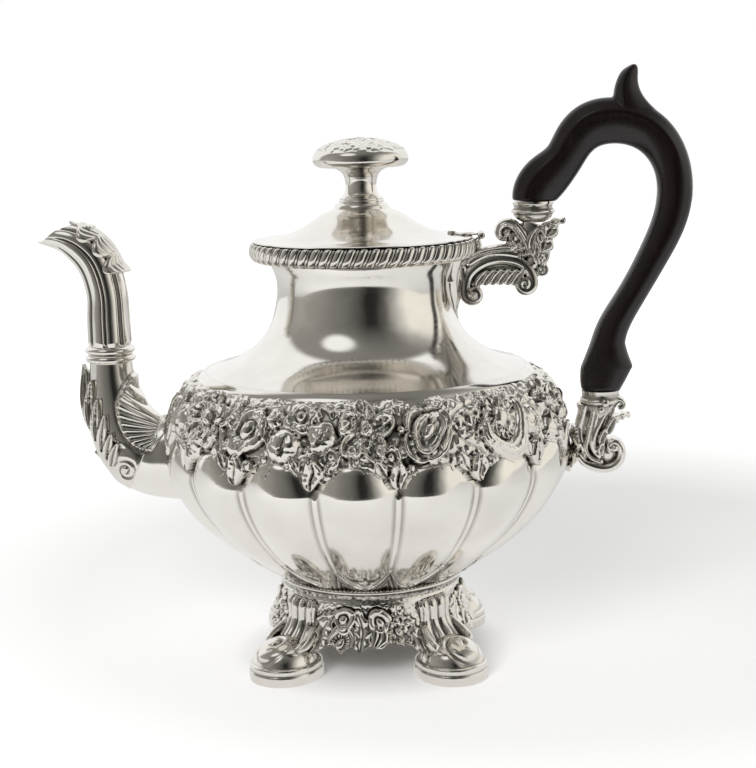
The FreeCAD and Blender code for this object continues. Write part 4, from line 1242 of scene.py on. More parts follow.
@dataclass
class Spout:
    """Smooth root with a chased shell, a leafy sheath, a double ring and a fluted beak."""

    bowl: Bowl
    ring_x: float = -105.1
    ring_foot: float = 124.0
    ring_height: float = 7.0
    ring_radius: float = 8.6
    bead: float = 1.7
    flutes: int = 8
    flute_depth: float = 1.0
    lift: float = 0.9
    overlap: float = 0.9
    shell_ribs: int = 23

    ROOT = Tube((-76, 83.4, 18.0, 13.5), (-84, 83.6, 17.2, 13.1), (-91, 84.9, 16.3, 12.6),
                (-98, 91.2, 15.2, 12.0), (-102.1, 99, 13.2, 11.2), (-104.2, 108, 11.0, 9.9),
                (-105, 117, 9.4, 9.0), (-105.1, 124.1, 8.7, 8.7))
    BEAK = Tube((-105.1, 130.9, 8.5, 8.7), (-105.1, 137, 8.4, 8.6), (-105.1, 143, 8.2, 8.6),
                (-105.0, 150, 7.9, 8.6), (-106.0, 157.5, 7.9, 8.7), (-109.2, 166.2, 7.9, 8.6),
                (-114.9, 172.2, 7.2, 8.0), (-122.0, 175.4, 5.6, 6.8), (-128.8, 175.6, 3.6, 4.4),
                (-133.1, 175.0, 1.5, 1.2))
    # Leaf fingers of the sheath from stalk to tip with their half widths, seen from the side.
    FINGERS = (
        ((-115.2, 101), (-116.4, 112), (-115.4, 122.4), 2.0),
        ((-113.2, 97), (-113.4, 107.5), (-112, 117.9), 2.3),
        ((-110.9, 92.6), (-110.6, 102), (-109.4, 110.6), 2.4),
        ((-108.6, 88.4), (-107.8, 96.6), (-106.2, 104.1), 2.3),
        ((-106.6, 85.2), (-105.4, 91.2), (-103.6, 96.8), 2.2),
        ((-104.9, 82.8), (-103.4, 88), (-101.2, 92.8), 2.0),
    )
    # Spikes on the sheath's back and the leaf along it: knots, half width, thickness, lobes, droop.
    SPINES = (
        (((-114.4, 97.6), (-116.4, 100), (-118, 102.2)), 2.2, 1.4, 1, 0.6),
        (((-110.4, 84), (-112.2, 85.2), (-113.9, 86.6)), 2.2, 1.4, 1, 0.6),
        (((-111.4, 90), (-116.2, 101), (-117.4, 112), (-116.4, 123.4)), 3.4, 1.6, 0, 0.8),
    )
    # Middles (x, z) of the shell on the root and of the sheath's volute.
    SHELL = (-80.0, 95.0)
    VOLUTE = (-98.6, 80.8)
    # Edge of the shell: angles and distances from its middle.
    SHELL_EDGE = ((-0.8, -0.39, 0.157, 0.52, 1.03), (8, 14, 20.5, 25.5, 29.5))
    # Rolled tip of the crest leaf, and places (x, z, y) of the curls between its scallops.
    TIP = ((((-109.5, 178.6), (-113.4, 179.4), (-116.6, 180.4), (-119, 182)), 24, (2.0, 1.6, 0.6),
            (5.0, 3.8, 1.4), 0.2, 3),)
    CURLS = ((-101.4, 162.6, 8.2), (-106.2, 169, 8.2), (-112.4, 174.8, 7.6))

    def make(self, shop: Workshop) -> None:
        """Build the spout."""
        self.make_root(shop)
        share = np.linspace(0, 1, 48)
        bulge = self.ring_radius + self.bead * reeds(2 * share, 0.7)
        profile = np.stack([bulge, self.ring_foot + self.ring_height * share], 1)
        shop.piece("spout_collar_turned", Skin.over(spindle(profile, 96, self.ring_x)), "spout_collar",
                   reach=4, depth=0.4, finish=MIRROR)
        self.make_beak(shop)
        self.make_sheath(shop)
        self.make_crest(shop)

    def make_root(self, shop: Workshop) -> None:
        """Build the root with the ribbed shell that spreads from the belt over its upper side."""
        share, turn = np.linspace(0, 1, 260)[:, None], circle(240)
        flat = self.ROOT.surface(share, turn)
        away, above = self.SHELL[0] - flat[..., 0], flat[..., 2] - self.SHELL[1]
        reach, angle = np.hypot(away, above), np.arctan2(above, away)
        ribs = np.abs(np.cos(angle * self.shell_ribs))
        inward = np.interp(angle, *self.SHELL_EDGE) + 0.25 * ribs - reach
        mask = ramp(-0.3, 0.3, inward) * ramp(-0.7, -0.6, angle) * ramp(1.25, 1.15, angle)
        ridge = ribs ** 0.7 * ramp(2, 12, reach) * ramp(0.3, 1.6, inward)
        rows = self.ROOT.surface(share, turn, mask * (0.4 + ridge + bell(inward - 0.7, 0.6)))
        seat = self.bowl.surface(np.full(len(turn), math.pi), rows[0, :, 2]) - self.overlap
        seat_x = -np.sqrt(seat ** 2 - rows[0, :, 1] ** 2)
        rows[..., 0] += (seat_x - rows[0, :, 0]) * ramp(0.22, 0.0, share)
        shop.piece("spout_root_raised", Skin.over(rows), "spout_root",
                   reach=12, depth=0.3, finish=MIRROR)

    def make_beak(self, shop: Workshop) -> None:
        """Build the fluted beak, open along its upper side at the lip."""
        turn = circle(self.flutes * 20)
        end = 0.74 + 0.255 * (0.5 + 0.5 * np.cos(turn)) ** 0.5
        out, back = np.linspace(0, 1, 130)[:, None] * end, np.linspace(1, 0.3, 50)[:, None] * end
        phase = self.flutes * turn / TAU % 1 - 0.5
        flute = 0.5 * np.cos(math.pi * phase) ** 0.5 - self.flute_depth * bell(np.abs(phase) - 0.5, 0.1)
        fade = ramp(0.0, 0.03, out) * (1 - 0.9 * ramp(0.7, 0.94, out))
        slim = self.BEAK.track[:, 2:].min(1)
        wall = np.minimum(2.0, 0.4 * np.interp(back, np.linspace(0, 1, len(slim)), slim))
        rows = np.vstack([
            self.BEAK.surface(out, turn, fade * flute), self.BEAK.surface(back, turn, -wall)])
        shop.piece("spout_beak_fluted", Skin.over(rows), "spout_beak",
                   reach=8, depth=0.35, finish=MIRROR)

    def make_sheath(self, shop: Workshop) -> None:
        """Build the sheath of leaf fingers that clasps the outer side of the root."""
        side, rows = np.linspace(-1, 1, 181), np.linspace(0, 1, 170)[:, None]
        share, half = 0.27 + 0.67 * rows, spread((1.75, 1.6, 1.15, 0.75, 0.35), len(rows))
        place = self.ROOT.surface(share, side * half)
        x, z = place[..., 0] - self.VOLUTE[0], place[..., 2] - self.VOLUTE[1]
        rho = np.hypot(x, z)
        coil = (rho / 2.6 - np.arctan2(z, x) / TAU) % 1
        cut = bell(coil - 0.5, 0.16) * ramp(4.9, 4.1, rho) * ramp(0.5, 1.0, rho)
        rim = np.minimum(bell(np.abs(side) - 0.95, 0.04) + bell(rows, 0.02), 1)
        grow = 0.35 + 0.3 * rim + ramp(9.5, 6, rho) * (0.9 - 1.1 * cut)
        skins = [self.ROOT.sheet(0.0, share, half, grow)]
        for *knots, width in self.FINGERS:
            skins += leaf(self.ROOT.on_side(knots, self.lift), (1, 0, 0), width, 2.8, 0).paired()
        skins += [leaf(spine_in_plane(knots), ACROSS, *sizes) for knots, *sizes in self.SPINES]
        shop.piece("spout_sheath_leaf_cast", Skin.joined(skins), "spout_sheath_leaf",
                   voxel=0.27, reach=8, depth=0.28)

    def make_crest(self, shop: Workshop) -> None:
        """Build the leaf along the beak's upper side, with three rolled scallops a side."""
        side, rows = np.linspace(-1, 1, 161), np.linspace(0, 1, 200)[:, None]
        scallop = reeds(3 * rows ** 0.95, 0.5)
        ribs = 0.15 * np.cos(TAU * 5.5 * (side + 0.03 * np.sin(3 * TAU * rows)))
        roll = bell(np.abs(side) - 0.84, 0.14) * scallop
        grow = 0.35 + np.sqrt(1 - 0.9 * side ** 2) * (1.7 + ribs) + roll + 1.8 * ramp(0.2, 0.0, rows)
        half = (0.5 + 0.62 * scallop) * ramp(0, 0.06, rows) * ramp(1.08, 0.9, rows) + 0.15
        skins = [self.BEAK.sheet(math.pi, 0.44 + 0.32 * rows, half, grow), *castings(self.TIP)]
        for x, z, y in self.CURLS:
            skins += ball((x, -y, z), (1.3, 1.2, 1.3)).paired()
        shop.piece("spout_crest_leaf_cast", Skin.joined(skins), "spout_crest_leaf",
                   voxel=0.27, reach=8, depth=0.28)


@dataclass
class Grip:
    """Carved wooden grip with a thumb rest."""

    half_width: float = 7.2
    ridge: float = 0.26
    crest: float = 0.08
    steps: int = 260

    # Middle (x, z) and half depth along the grip.
    LINE = ((68.7, 186.3, 8.2), (68.8, 187.6, 8.5), (70.4, 191.4, 9.2), (74.6, 196.2, 9.3),
            (80.8, 202.8, 8.0), (85.6, 210.4, 8.4), (91.6, 215.6, 9.1), (99.8, 217.3, 9.1),
            (114.7, 212.6, 8.3), (123.8, 198.8, 7.2), (124.0, 181.8, 6.9), (117, 164.5, 6.2),
            (106.4, 145.6, 5.8), (99.6, 132.6, 6.5), (98.2, 127, 7.0), (97.2, 121, 7.6),
            (96.2, 115, 7.8), (95.6, 109.7, 7.8))
    # Middle (x, z), half depth and half width down the heel, with its sharp edge.
    HEEL = ((98.4, 130, 6.6, 6.9), (98.3, 127.6, 7.3, 7.2), (98.1, 124, 8.5, 7.3),
            (98.1, 121.2, 9.6, 7.3), (98, 118.8, 10.5, 7.2), (97.4, 117, 10.1, 7.2),
            (96.7, 114.4, 9.5, 7.2), (96.1, 112, 8.8, 7.2), (95.6, 109.5, 7.9, 7.2))
    # Middle (x, z), half depth and half width up the thumb rest.
    THUMB = ((113.2, 211.5, 11.6, 5.4), (109.9, 218.4, 10.1, 6.2), (107.2, 224.4, 6.9, 6.0),
             (105.9, 229.6, 5.0, 5.0), (106.3, 234.2, 3.9, 4.0), (107.7, 237.6, 2.5, 2.6),
             (108.8, 239.1, 0.8, 0.9))

    def make(self, shop: Workshop) -> None:
        """Build the grip."""
        line = smooth(self.LINE, self.steps)
        around = circle(64)
        u, plain = np.cos(around), boxed(np.sin(around), 0.8)
        sunk = self.ridge * np.interp(u, [-0.75, 0.45, 0.85], [1, 0, 0.5])
        ridged = plain * (1 + self.crest * bell(u - 0.45, 0.15) - sunk)
        fade = ramp(0.5, 0.34, np.linspace(0, 1, self.steps))[:, None]
        loops = np.stack([line[:, 2:] * u, self.half_width * (plain + fade * (ridged - plain))], -1)
        skins = [Skin.over(sweep(line[:, :2], loops))]
        heel = evenly(np.array(self.HEEL), 60)
        for rows, way, v in ((smooth(self.THUMB, 70), -1, ridged), (heel, 1, plain)):
            x, z, deep, wide = (rows[:, k:k + 1] for k in range(4))
            loop = np.broadcast_arrays(x + way * deep * u, wide * v, z)
            skins.append(Skin.over(np.stack(loop, -1)))
        shop.piece("handle_grip_carved", Skin.joined(skins), "handle_grip", voxel=0.4, soften=4,
                   reach=4, depth=5.0, finish=GRIP_WOOD)


@dataclass
class Mount:
    """Ferrule with its cross pin, and the bracket that carries one end of the grip."""

    label: str
    axis_x: float

    # Foot (radius, height) of the ferrule, and its mouldings with their numbers of points.
    FOOT: ClassVar[tuple[float, float]]
    MOULDINGS: ClassVar[tuple]

    def make_ferrule(self, shop: Workshop) -> None:
        """Build the ferrule, and keep its pin."""
        profile = np.vstack([self.FOOT, *(smooth(knots, count) for knots, count in self.MOULDINGS)])
        shop.piece(f"{self.label}_ferrule_turned", Skin.over(spindle(profile, 72, self.axis_x)),
                   f"{self.label}_ferrule", reach=4, depth=0.5, tint=0.25)
        shop.keep(f"{self.label}_pin", CHASED)

    def cast_bracket(self, shop: Workshop, skins: list[Skin]) -> None:
        """Cast the bracket from its skins."""
        shop.piece(f"{self.label}_bracket_cast", Skin.joined(skins), f"{self.label}_bracket",
                   voxel=0.25, reach=10, depth=0.33)


@dataclass
class UpperSocket(Mount):
    """Ferrule, scrolled bracket and leaf pad that carry the grip's upper end from the neck."""

    neck: Neck
    pad_foot: float = 139.5
    pad_height: float = 24.5

    FOOT = (4.4, 177.9)
    MOULDINGS = (
        (((4.6, 178.0), (6.2, 178.9), (7.5, 180.1), (7.9, 181.3)), 12),
        (((8.4, 181.6), (8.9, 182.1), (8.9, 182.6), (8.4, 183.0)), 10),
        (((7.9, 183.3), (7.8, 184.6), (8.1, 185.2), (8.1, 186.25)), 10),
    )
    # Curls at both ends of the arch, on the blade's lip and on the knob: middle, radii, angle, turns.
    LEFT_CURL = ((44.4, 149.6), 3.6, 0.8, 165, 1.2)
    RIGHT_CURL = ((65.0, 153.2), 3.4, 0.8, 15, -1.2)
    LIP = ((79.9, 178.3), 1.5, 0.4, 60, -0.9, 20)
    KNOB = ((71.8, 158.6), 2.5, 0.5, 60, -1.5)
    # Middle line of the arch between its curls.
    ARCH = ((40.9, 151), (41.8, 156), (45.8, 160.6), (52, 163.2), (58.5, 163.3), (64, 161.4),
            (67.4, 157.6), (68.4, 154))
    # Web, strap, root, infill, core and roll: knots, points, half depths, half widths, groove, ridges.
    BANDS = (
        (((45, 154.6), (47.8, 158), (52, 160.2), (58, 160.2), (62.4, 158)), 40, (1.6, 2.0, 1.6), 2.6),
        (((39.8, 161.5), (44, 165), (50, 167.2), (57, 168), (62, 167.6)), 40,
         (1.3, 1.5, 1.6), (6.0, 5.6, 5.0), 0.16, 2),
        (((40.2, 161), (40.6, 156), (41.6, 151.4)), 20, (1.8, 1.8, 1.2), 4.4),
        (((42.5, 161.6), (49, 165.2), (57, 165.9), (63, 164.8)), 30, (1.2, 1.8, 1.8), 4.4),
        (((60.5, 163.6), (63.4, 168.5), (66.4, 173), (68.4, 177.8)), 30,
         (2.6, 3.0, 3.4, 4.2), (4.2, 3.8, 3.6, 4.0)),
        (((66.6, 166.4), (65, 171), (62.6, 175), (59.2, 177.8), (56, 177.2), (54.6, 174.4),
          (55.8, 171.9), (58, 171.8)), 60, (2.0, 2.3, 2.3, 2.0, 1.6, 1.2), (4.8, 5.0, 5.4, 5.8), 0.2, 3),
    )
    # Beads, the last five of them a row of reeds: place and half sizes.
    BEADS = (
        (44.4, 0, 149.2, 2.3, 6.4, 2.3), (57.9, 0, 174, 2.2, 5.8, 2.4), (60.4, 0, 171.6, 3.0, 4.2, 3.4),
        (71, 0, 171, 4.4, 2.6, 6.0), (68.4, 0, 161.6, 3.2, 4.0, 3.8), (45.2, 0, 153.4, 2.2, 3.6, 2.4),
        *((63.2 + 1.05 * reed, 0, 165.2 + 0.2 * reed, 0.56, 6.2, 2.1) for reed in range(5)),
    )
    # Frill, blade and bulb: knots, distance from the middle plane, points, side, half width,
    # thickness and lobes.
    LEAVES = (
        (((64.6, 167.4), (61.4, 168.4), (58.4, 170.6)), -3.8, 24, (0.5, 0, 0.86), 2.2, 1.8, 3),
        (((70.8, 163.6), (72.2, 168.6), (74.4, 173.8), (79, 179.2)), -3.2, 40,
         (0.87, 0, -0.48), 4.6, 3.0, 3),
        (((67.6, 165), (67.8, 170), (70.6, 176)), -3.4, 24, (0.95, 0, -0.3), 2.4, 2.2, 0),
    )
    # Places along the arch of the plain lobes that hang in it.
    LOBES = (46.6, 49.6, 52.6, 55.6, 58.6, 61.2)
    # Left and right edge of the ribbed fringe.
    FRINGE = (((66.6, 166.8), (67.8, 163.8), (69.8, 161.2)),
              ((75.4, 165.6), (74.8, 162.8), (72.8, 160.2)))

    def make(self, shop: Workshop) -> None:
        """Build the upper socket."""
        self.make_ferrule(shop)
        self.make_pad(shop)
        self.make_bracket(shop)

    def make_pad(self, shop: Workshop) -> None:
        """Build the fluted strap that tapers to a point down the neck."""
        share, s = np.linspace(0, 1, 60)[:, None], np.linspace(-1, 1, 61)
        z = self.pad_foot + self.pad_height * share
        half = 7.6 * np.sqrt(np.clip(share * 1.6, 0, 1)) * (1 - 0.2 * np.sin(math.pi * share))
        sheet = self.neck.profile()[len(Neck.STEP) - 1:]
        base = np.interp(z, sheet[:, 1], sheet[:, 0])
        flutes = 0.75 + 0.25 * np.abs(np.cos(2.5 * math.pi * s))
        thick = (0.4 + 4.2 * ramp(0.0, 0.5, share)) * np.sqrt(1 - 0.95 * s ** 2) * flutes
        faces = (about_axis(radius, s * half / base, z) for radius in (base + thick, base - 0.5))
        shop.piece("upper_pad_fluted", Skin.sheet(*faces), "upper_pad", reach=5, depth=0.35)

    def make_bracket(self, shop: Workshop) -> None:
        """Build the bracket of scrolls and leaves."""
        curls = spiral(*self.LEFT_CURL)[::-1], spiral(*self.RIGHT_CURL)
        arch = np.vstack([curls[0], smooth(self.ARCH, 70)[2:-2], curls[1]])
        skins = [
            band(arch, [1.2, 2.3, 2.4, 2.3, 1.2], [6.0, 5.2, 5.0, 5.2, 6.0], 0.14),
            band(spiral(*self.LIP), [0.7, 0.5], [4.4, 3.6]),
            band(spiral(*self.KNOB), [0.9, 0.6], [3.6, 4.2]),
            *castings(self.BANDS, self.BEADS, self.LEAVES), *frond(*self.FRINGE, 4, 2.4, 2.4).paired()]
        for x in self.LOBES:
            foot = 152.8 + 0.5 * math.cos((x - 54) / 5)
            spine = ((x - 1.2, foot), (x + 0.8, foot + 2.8), (x + 3.6, foot + 6.4))
            skins += castings(leaves=[(spine, -3.2, 20, (0.85, 0, -0.53), 1.9, 2.2, 0)])
        self.cast_bracket(shop, skins)


@dataclass
class LowerSocket(Mount):
    """Ferrule, leafy scroll and pad that carry the grip's lower end from the bowl."""

    bowl: Bowl
    pad_top: float = 95.5
    pad_foot: float = 75.5
    pad_lift: float = 1.2

    FOOT = (4.4, 97.5)
    MOULDINGS = (
        (((4.6, 97.8), (5.4, 99.4), (6.0, 101.4), (6.8, 103.4)), 12),
        (((7.4, 103.9), (8.3, 104.6), (8.4, 105.4), (7.9, 106.1)), 12),
        (((7.6, 106.5), (7.6, 107.8), (7.9, 109.3)), 8),
    )
    # Hook with its groove, then ribs: knots, points, half depths and half widths.
    BANDS = (
        (((86, 83), (88.4, 79.8), (91.8, 78), (96.2, 77), (100.2, 77.8), (102.8, 80), (103.8, 83),
          (103, 86.6), (100.6, 88.2), (98.6, 86.6), (99.4, 84.8)), 80,
         (1.4, 1.9, 1.9, 1.7, 1.1), (5.2, 5.6, 6.0, 6.2), 0.14),
        (((92.9, 84.2), (92.3, 89.3), (94.2, 94.6), (96.8, 99.8), (100.2, 104.2), (102.8, 105.8),
          (104.6, 104.2), (104, 102.2), (102.4, 102.2)), 50, (1.5, 1.6, 1.5, 1.2, 0.9), (5.0, 5.4, 5.6)),
        (((95.2, 81.6), (92.4, 84.6), (91.6, 88.6), (92.6, 94.5), (94.2, 100.6), (95.6, 103.6)), 50,
         (1.0, 1.3, 1.5), (5.0, 5.0, 5.6)),
        (((95.4, 79.8), (91.4, 81.6), (89.2, 85.4), (89.6, 88.6), (91, 94.6), (92.2, 100.6),
          (92.6, 103.8)), 50, (1.0, 1.3, 1.5), (4.8, 4.8, 5.4)),
        (((88.6, 103.8), (88, 99.6), (86.9, 95.4), (86.8, 90.5), (88.6, 84.4)), 50,
         (2.0, 1.8, 1.6), (4.6, 4.2, 4.4)),
        (((95.8, 103), (96.6, 97), (95.6, 90), (95.8, 84)), 50, (3.0, 2.6, 2.0), (4.4, 3.4, 3.6)),
    )
    # Beads: place and half sizes.
    BEADS = (
        (100.8, 0, 85.6, 2.4, 6.4, 2.4), (98.2, 0, 83.4, 4.0, 4.8, 4.4), (90.6, 0, 94, 3.2, 4.0, 11),
        (88.6, 0, 83, 2.6, 4.0, 3.6), (87.2, 0, 103, 1.5, 3.6, 1.7),
        (96.8, -8.0, 105.0, 1.7, 1.4, 1.7), (95.2, -6.0, 102, 1.8, 2.0, 1.8),
        (96.8, 8.0, 105.0, 1.7, 1.4, 1.7), (95.2, 6.0, 102, 1.8, 2.0, 1.8),
    )
    # Plain lobes: knots, distance from the middle plane, points, side, half width, thickness, lobes.
    LEAVES = (
        (((97.8, 91.6), (99.3, 95.2), (101, 98.8)), -4.4, 24, (0.88, 0, -0.47), 1.9, 2.2, 0),
        (((95, 87.4), (96.2, 91), (97.8, 94.6)), -4.4, 24, (0.88, 0, -0.47), 1.7, 2.2, 0),
        (((95.2, 82.6), (95.3, 85.6), (96.4, 88.6)), -4.4, 24, (0.88, 0, -0.47), 1.6, 2.2, 0),
    )
    # Midrib (x, z) of the leaf in front.
    TONGUE = ((98, 93.6), (101.4, 96.8), (104.6, 98.6), (107.6, 99.3))

    def make(self, shop: Workshop) -> None:
        """Build the lower socket."""
        self.make_ferrule(shop)
        z = np.linspace(self.pad_top, self.pad_foot, 40)
        spine = np.stack([self.bowl.crest(z) + self.pad_lift, 0 * z, z], 1)
        shop.piece("lower_pad_leaf", leaf(spine, ACROSS, 8.0, 2.0, 3, 2.2), "lower_pad",
                   reach=5, depth=0.35)
        tongue = leaf(spine_in_plane(self.TONGUE), ACROSS, 4.8, 2.2, 4, 1.6)
        self.cast_bracket(shop, [*castings(self.BANDS, self.BEADS, self.LEAVES), tongue])


@dataclass
class Base:
    """Base ring, four chased aprons and four scroll feet."""

    ring_radius: float = 37.0
    ring_foot: float = 31.0
    bore: float = 31.0
    drop: float = 19.0
    flare: float = 6.0
    reach: float = 48.0
    half_angle: float = 34.0
    apron_wall: float = 1.8
    apron_arc: float = 40.0
    shoe: Triple = (13.0, 12.7, 10.6)
    shoe_middle: float = 5.8
    leg_reeds: int = 10
    reed_depth: float = 2.0

    APRONS = (("handle_side", 0), ("back", 90), ("spout_side", 180), ("front", 270))
    FEET = (("back_right", 45), ("back_left", 135), ("front_left", 225), ("front_right", 315))
    # Radius and height of the ring's cove and bead, and of a foot's pad.
    COVE = ((36.9, 31.05), (36.5, 32), (36.4, 33.2), (37, 34.5))
    BEAD = ((38.1, 34.8), (38.8, 35.3), (38.8, 35.9), (38.0, 36.4))
    PAD = ((13.7, 0.0), (14.0, 0.3), (14.0, 3.9), (13.6, 4.3), (13.2, 4.5), (13.3, 4.8), (13.6, 5.1),
           (13.6, 6.5), (13.2, 6.9), (12.6, 7.1))
    # Middle (x, z), half depth and half width down a leg, and midrib of the scroll on its side.
    LEG = ((36.4, 30.6, 1.6, 7.0), (37.4, 28.8, 2.8, 8.2), (37.8, 26, 3.1, 8.0), (38, 21.5, 3.2, 7.8),
           (39.6, 16.6, 4.0, 8.6), (42.4, 12.5, 4.8, 9.6))
    SCROLL = ((37.5, 7.6, 20.5), (40.8, 8.9, 17), (45, 9.6, 14.6), (49, 9.2, 13.2))
    # Lower edge of an apron: distance along it and height.
    EDGE = ((-24, 8.5), (-20.5, 11), (-17, 14), (-13.5, 15), (-9.5, 12.3), (-5.4, 15), (-2.4, 13),
            (0.6, 15.2), (5.5, 13.9), (9.4, 16.2), (13, 15.2), (17, 14.4), (20.5, 11), (24, 8.5))
    # Ornaments of an apron: kind, distance along, height, radius, turn and relief.
    ORNAMENTS = (
        (Motif.LEAF, -18.5, 18, 8, 70, 2.2), (Motif.LEAF, 19, 17.5, 8, 110, 2.2),
        (Motif.LEAF, -16, 25, 6, 20, 1.8), (Motif.LEAF, 13.5, 26.4, 6, 100, 2.2),
        (Motif.SHELL, -9.4, 17.6, 6.4, 115, 2.6), (Motif.DROP, 4.8, 18.2, 5.2, 250, 2.3),
        (Motif.LEAF, -2, 19.8, 8.8, 95, 2.8), (Motif.SCROLL, -9.6, 25, 6.2, 60, 3.2),
        (Motif.SCROLL, 5.2, 23.8, 6.0, 190, 3.2), (Motif.BLOSSOM, 13.2, 20, 6.6, 90, 3.0),
    )

    def make(self, shop: Workshop) -> None:
        """Build the base."""
        ring = np.vstack([smooth(self.COVE, 18), smooth(self.BEAD, 14),
                          [(self.bore, 36.4), (self.bore, 31.05)]])
        rows = revolve(ring, 720)
        z = rows[..., 2]
        matting = 0.05 * cloud(z.shape, 1.8, 14) * ramp(34.6, 34, z)
        rows[..., :2] *= (1 + matting / self.ring_radius)[..., None]
        shop.piece("base_ring_turned", Skin.over(rows, ring=True), "base_ring", reach=8, depth=0.3,
                   tint=0.2 * ramp(35, 34.2, z).ravel())
        apron, foot = self.apron_skin(), self.foot_skin()
        for label, heading_angle in self.APRONS:
            shop.piece(f"apron_{label}_chased", apron.turned(heading_angle), f"apron_{label}",
                       reach=18, depth=0.45)
        for label, heading_angle in self.FEET:
            shop.piece(f"foot_{label}_cast", foot.turned(heading_angle), f"foot_{label}",
                       voxel=0.32, reach=12, depth=0.4)

    def apron_skin(self) -> Skin:
        """Panel between two legs, chased with scrolls, a shell, a leaf and a flower."""
        shape = (220, 110)
        angle = math.radians(self.half_angle) * np.linspace(-1, 1, shape[0])[:, None]
        down = np.linspace(0, 1, shape[1])
        along = np.broadcast_to(angle * self.apron_arc, shape)
        length = self.ring_foot - np.interp(along[:, :1], *smooth(self.EDGE, 80).T)
        z = self.ring_foot - 0.1 - length * down
        drop = (self.ring_foot - z) / self.drop
        radius = self.ring_radius - 0.6 + self.flare * (0.1 * drop + 0.9 * drop ** 2)
        field = 0.2 + 0.07 * cloud(shape, 3, 9)
        for place in self.ORNAMENTS:
            lay_motif(field, along, z, place)
        hem = 0.9 * bell((1 - down) * length / 0.7 - 0.9, 1.0)
        front = radius + np.maximum(field, hem) * ramp(0, 0.06, down)
        return Skin.sheet(*(about_axis(r, angle, z) for r in (front, radius - self.apron_wall)))

    def foot_skin(self) -> Skin:
        """Reeded leg that flows into a shoe with one spiral on its top, on a moulded pad."""
        pad = spindle(self.PAD, 96, self.reach)
        pad[..., 0] -= 3.0 * ramp(0, -14, pad[..., 0] - self.reach)
        polar = np.linspace(0.03, math.pi * 0.6, 120)[:, None]
        shape = about_axis(np.sin(polar), circle(220), np.cos(polar))
        eye_x, eye_y = shape[..., 0] - 0.38, shape[..., 1] + 0.08
        rho = np.hypot(eye_x, eye_y)
        coil = (1.9 * rho - np.arctan2(eye_y, eye_x) / TAU + 0.35) % 1
        groove = bell(coil - 0.5, 0.12) * ramp(0.72, 0.56, rho) * ramp(0.1, 0.2, rho)
        groove *= ramp(0.05, 0.35, shape[..., 2])
        middle = [self.reach - 0.4, 0, self.shoe_middle]
        shoe = shape * (1 - 0.11 * groove)[..., None] * self.shoe + middle
        leg, turn = smooth(self.LEG, 80), circle(240)
        reed = self.reed_depth * (mound(2 * (self.leg_reeds * turn / TAU % 1) - 1) - 1)
        loops = np.stack([(leg[:, 2:3] + reed) * np.cos(turn), (leg[:, 3:] + reed) * np.sin(turn)], -1)
        skins = [Skin.over(rows) for rows in (pad, shoe, sweep(leg[:, :2], loops))]
        for sign in (1, -1):
            spine = smooth(np.array(self.SCROLL) * [1, sign, 1], 30)
            skins.append(leaf(spine, (0.5, 0, 0.8), 2.9, 2.4, 0))
        return Skin.joined(skins)


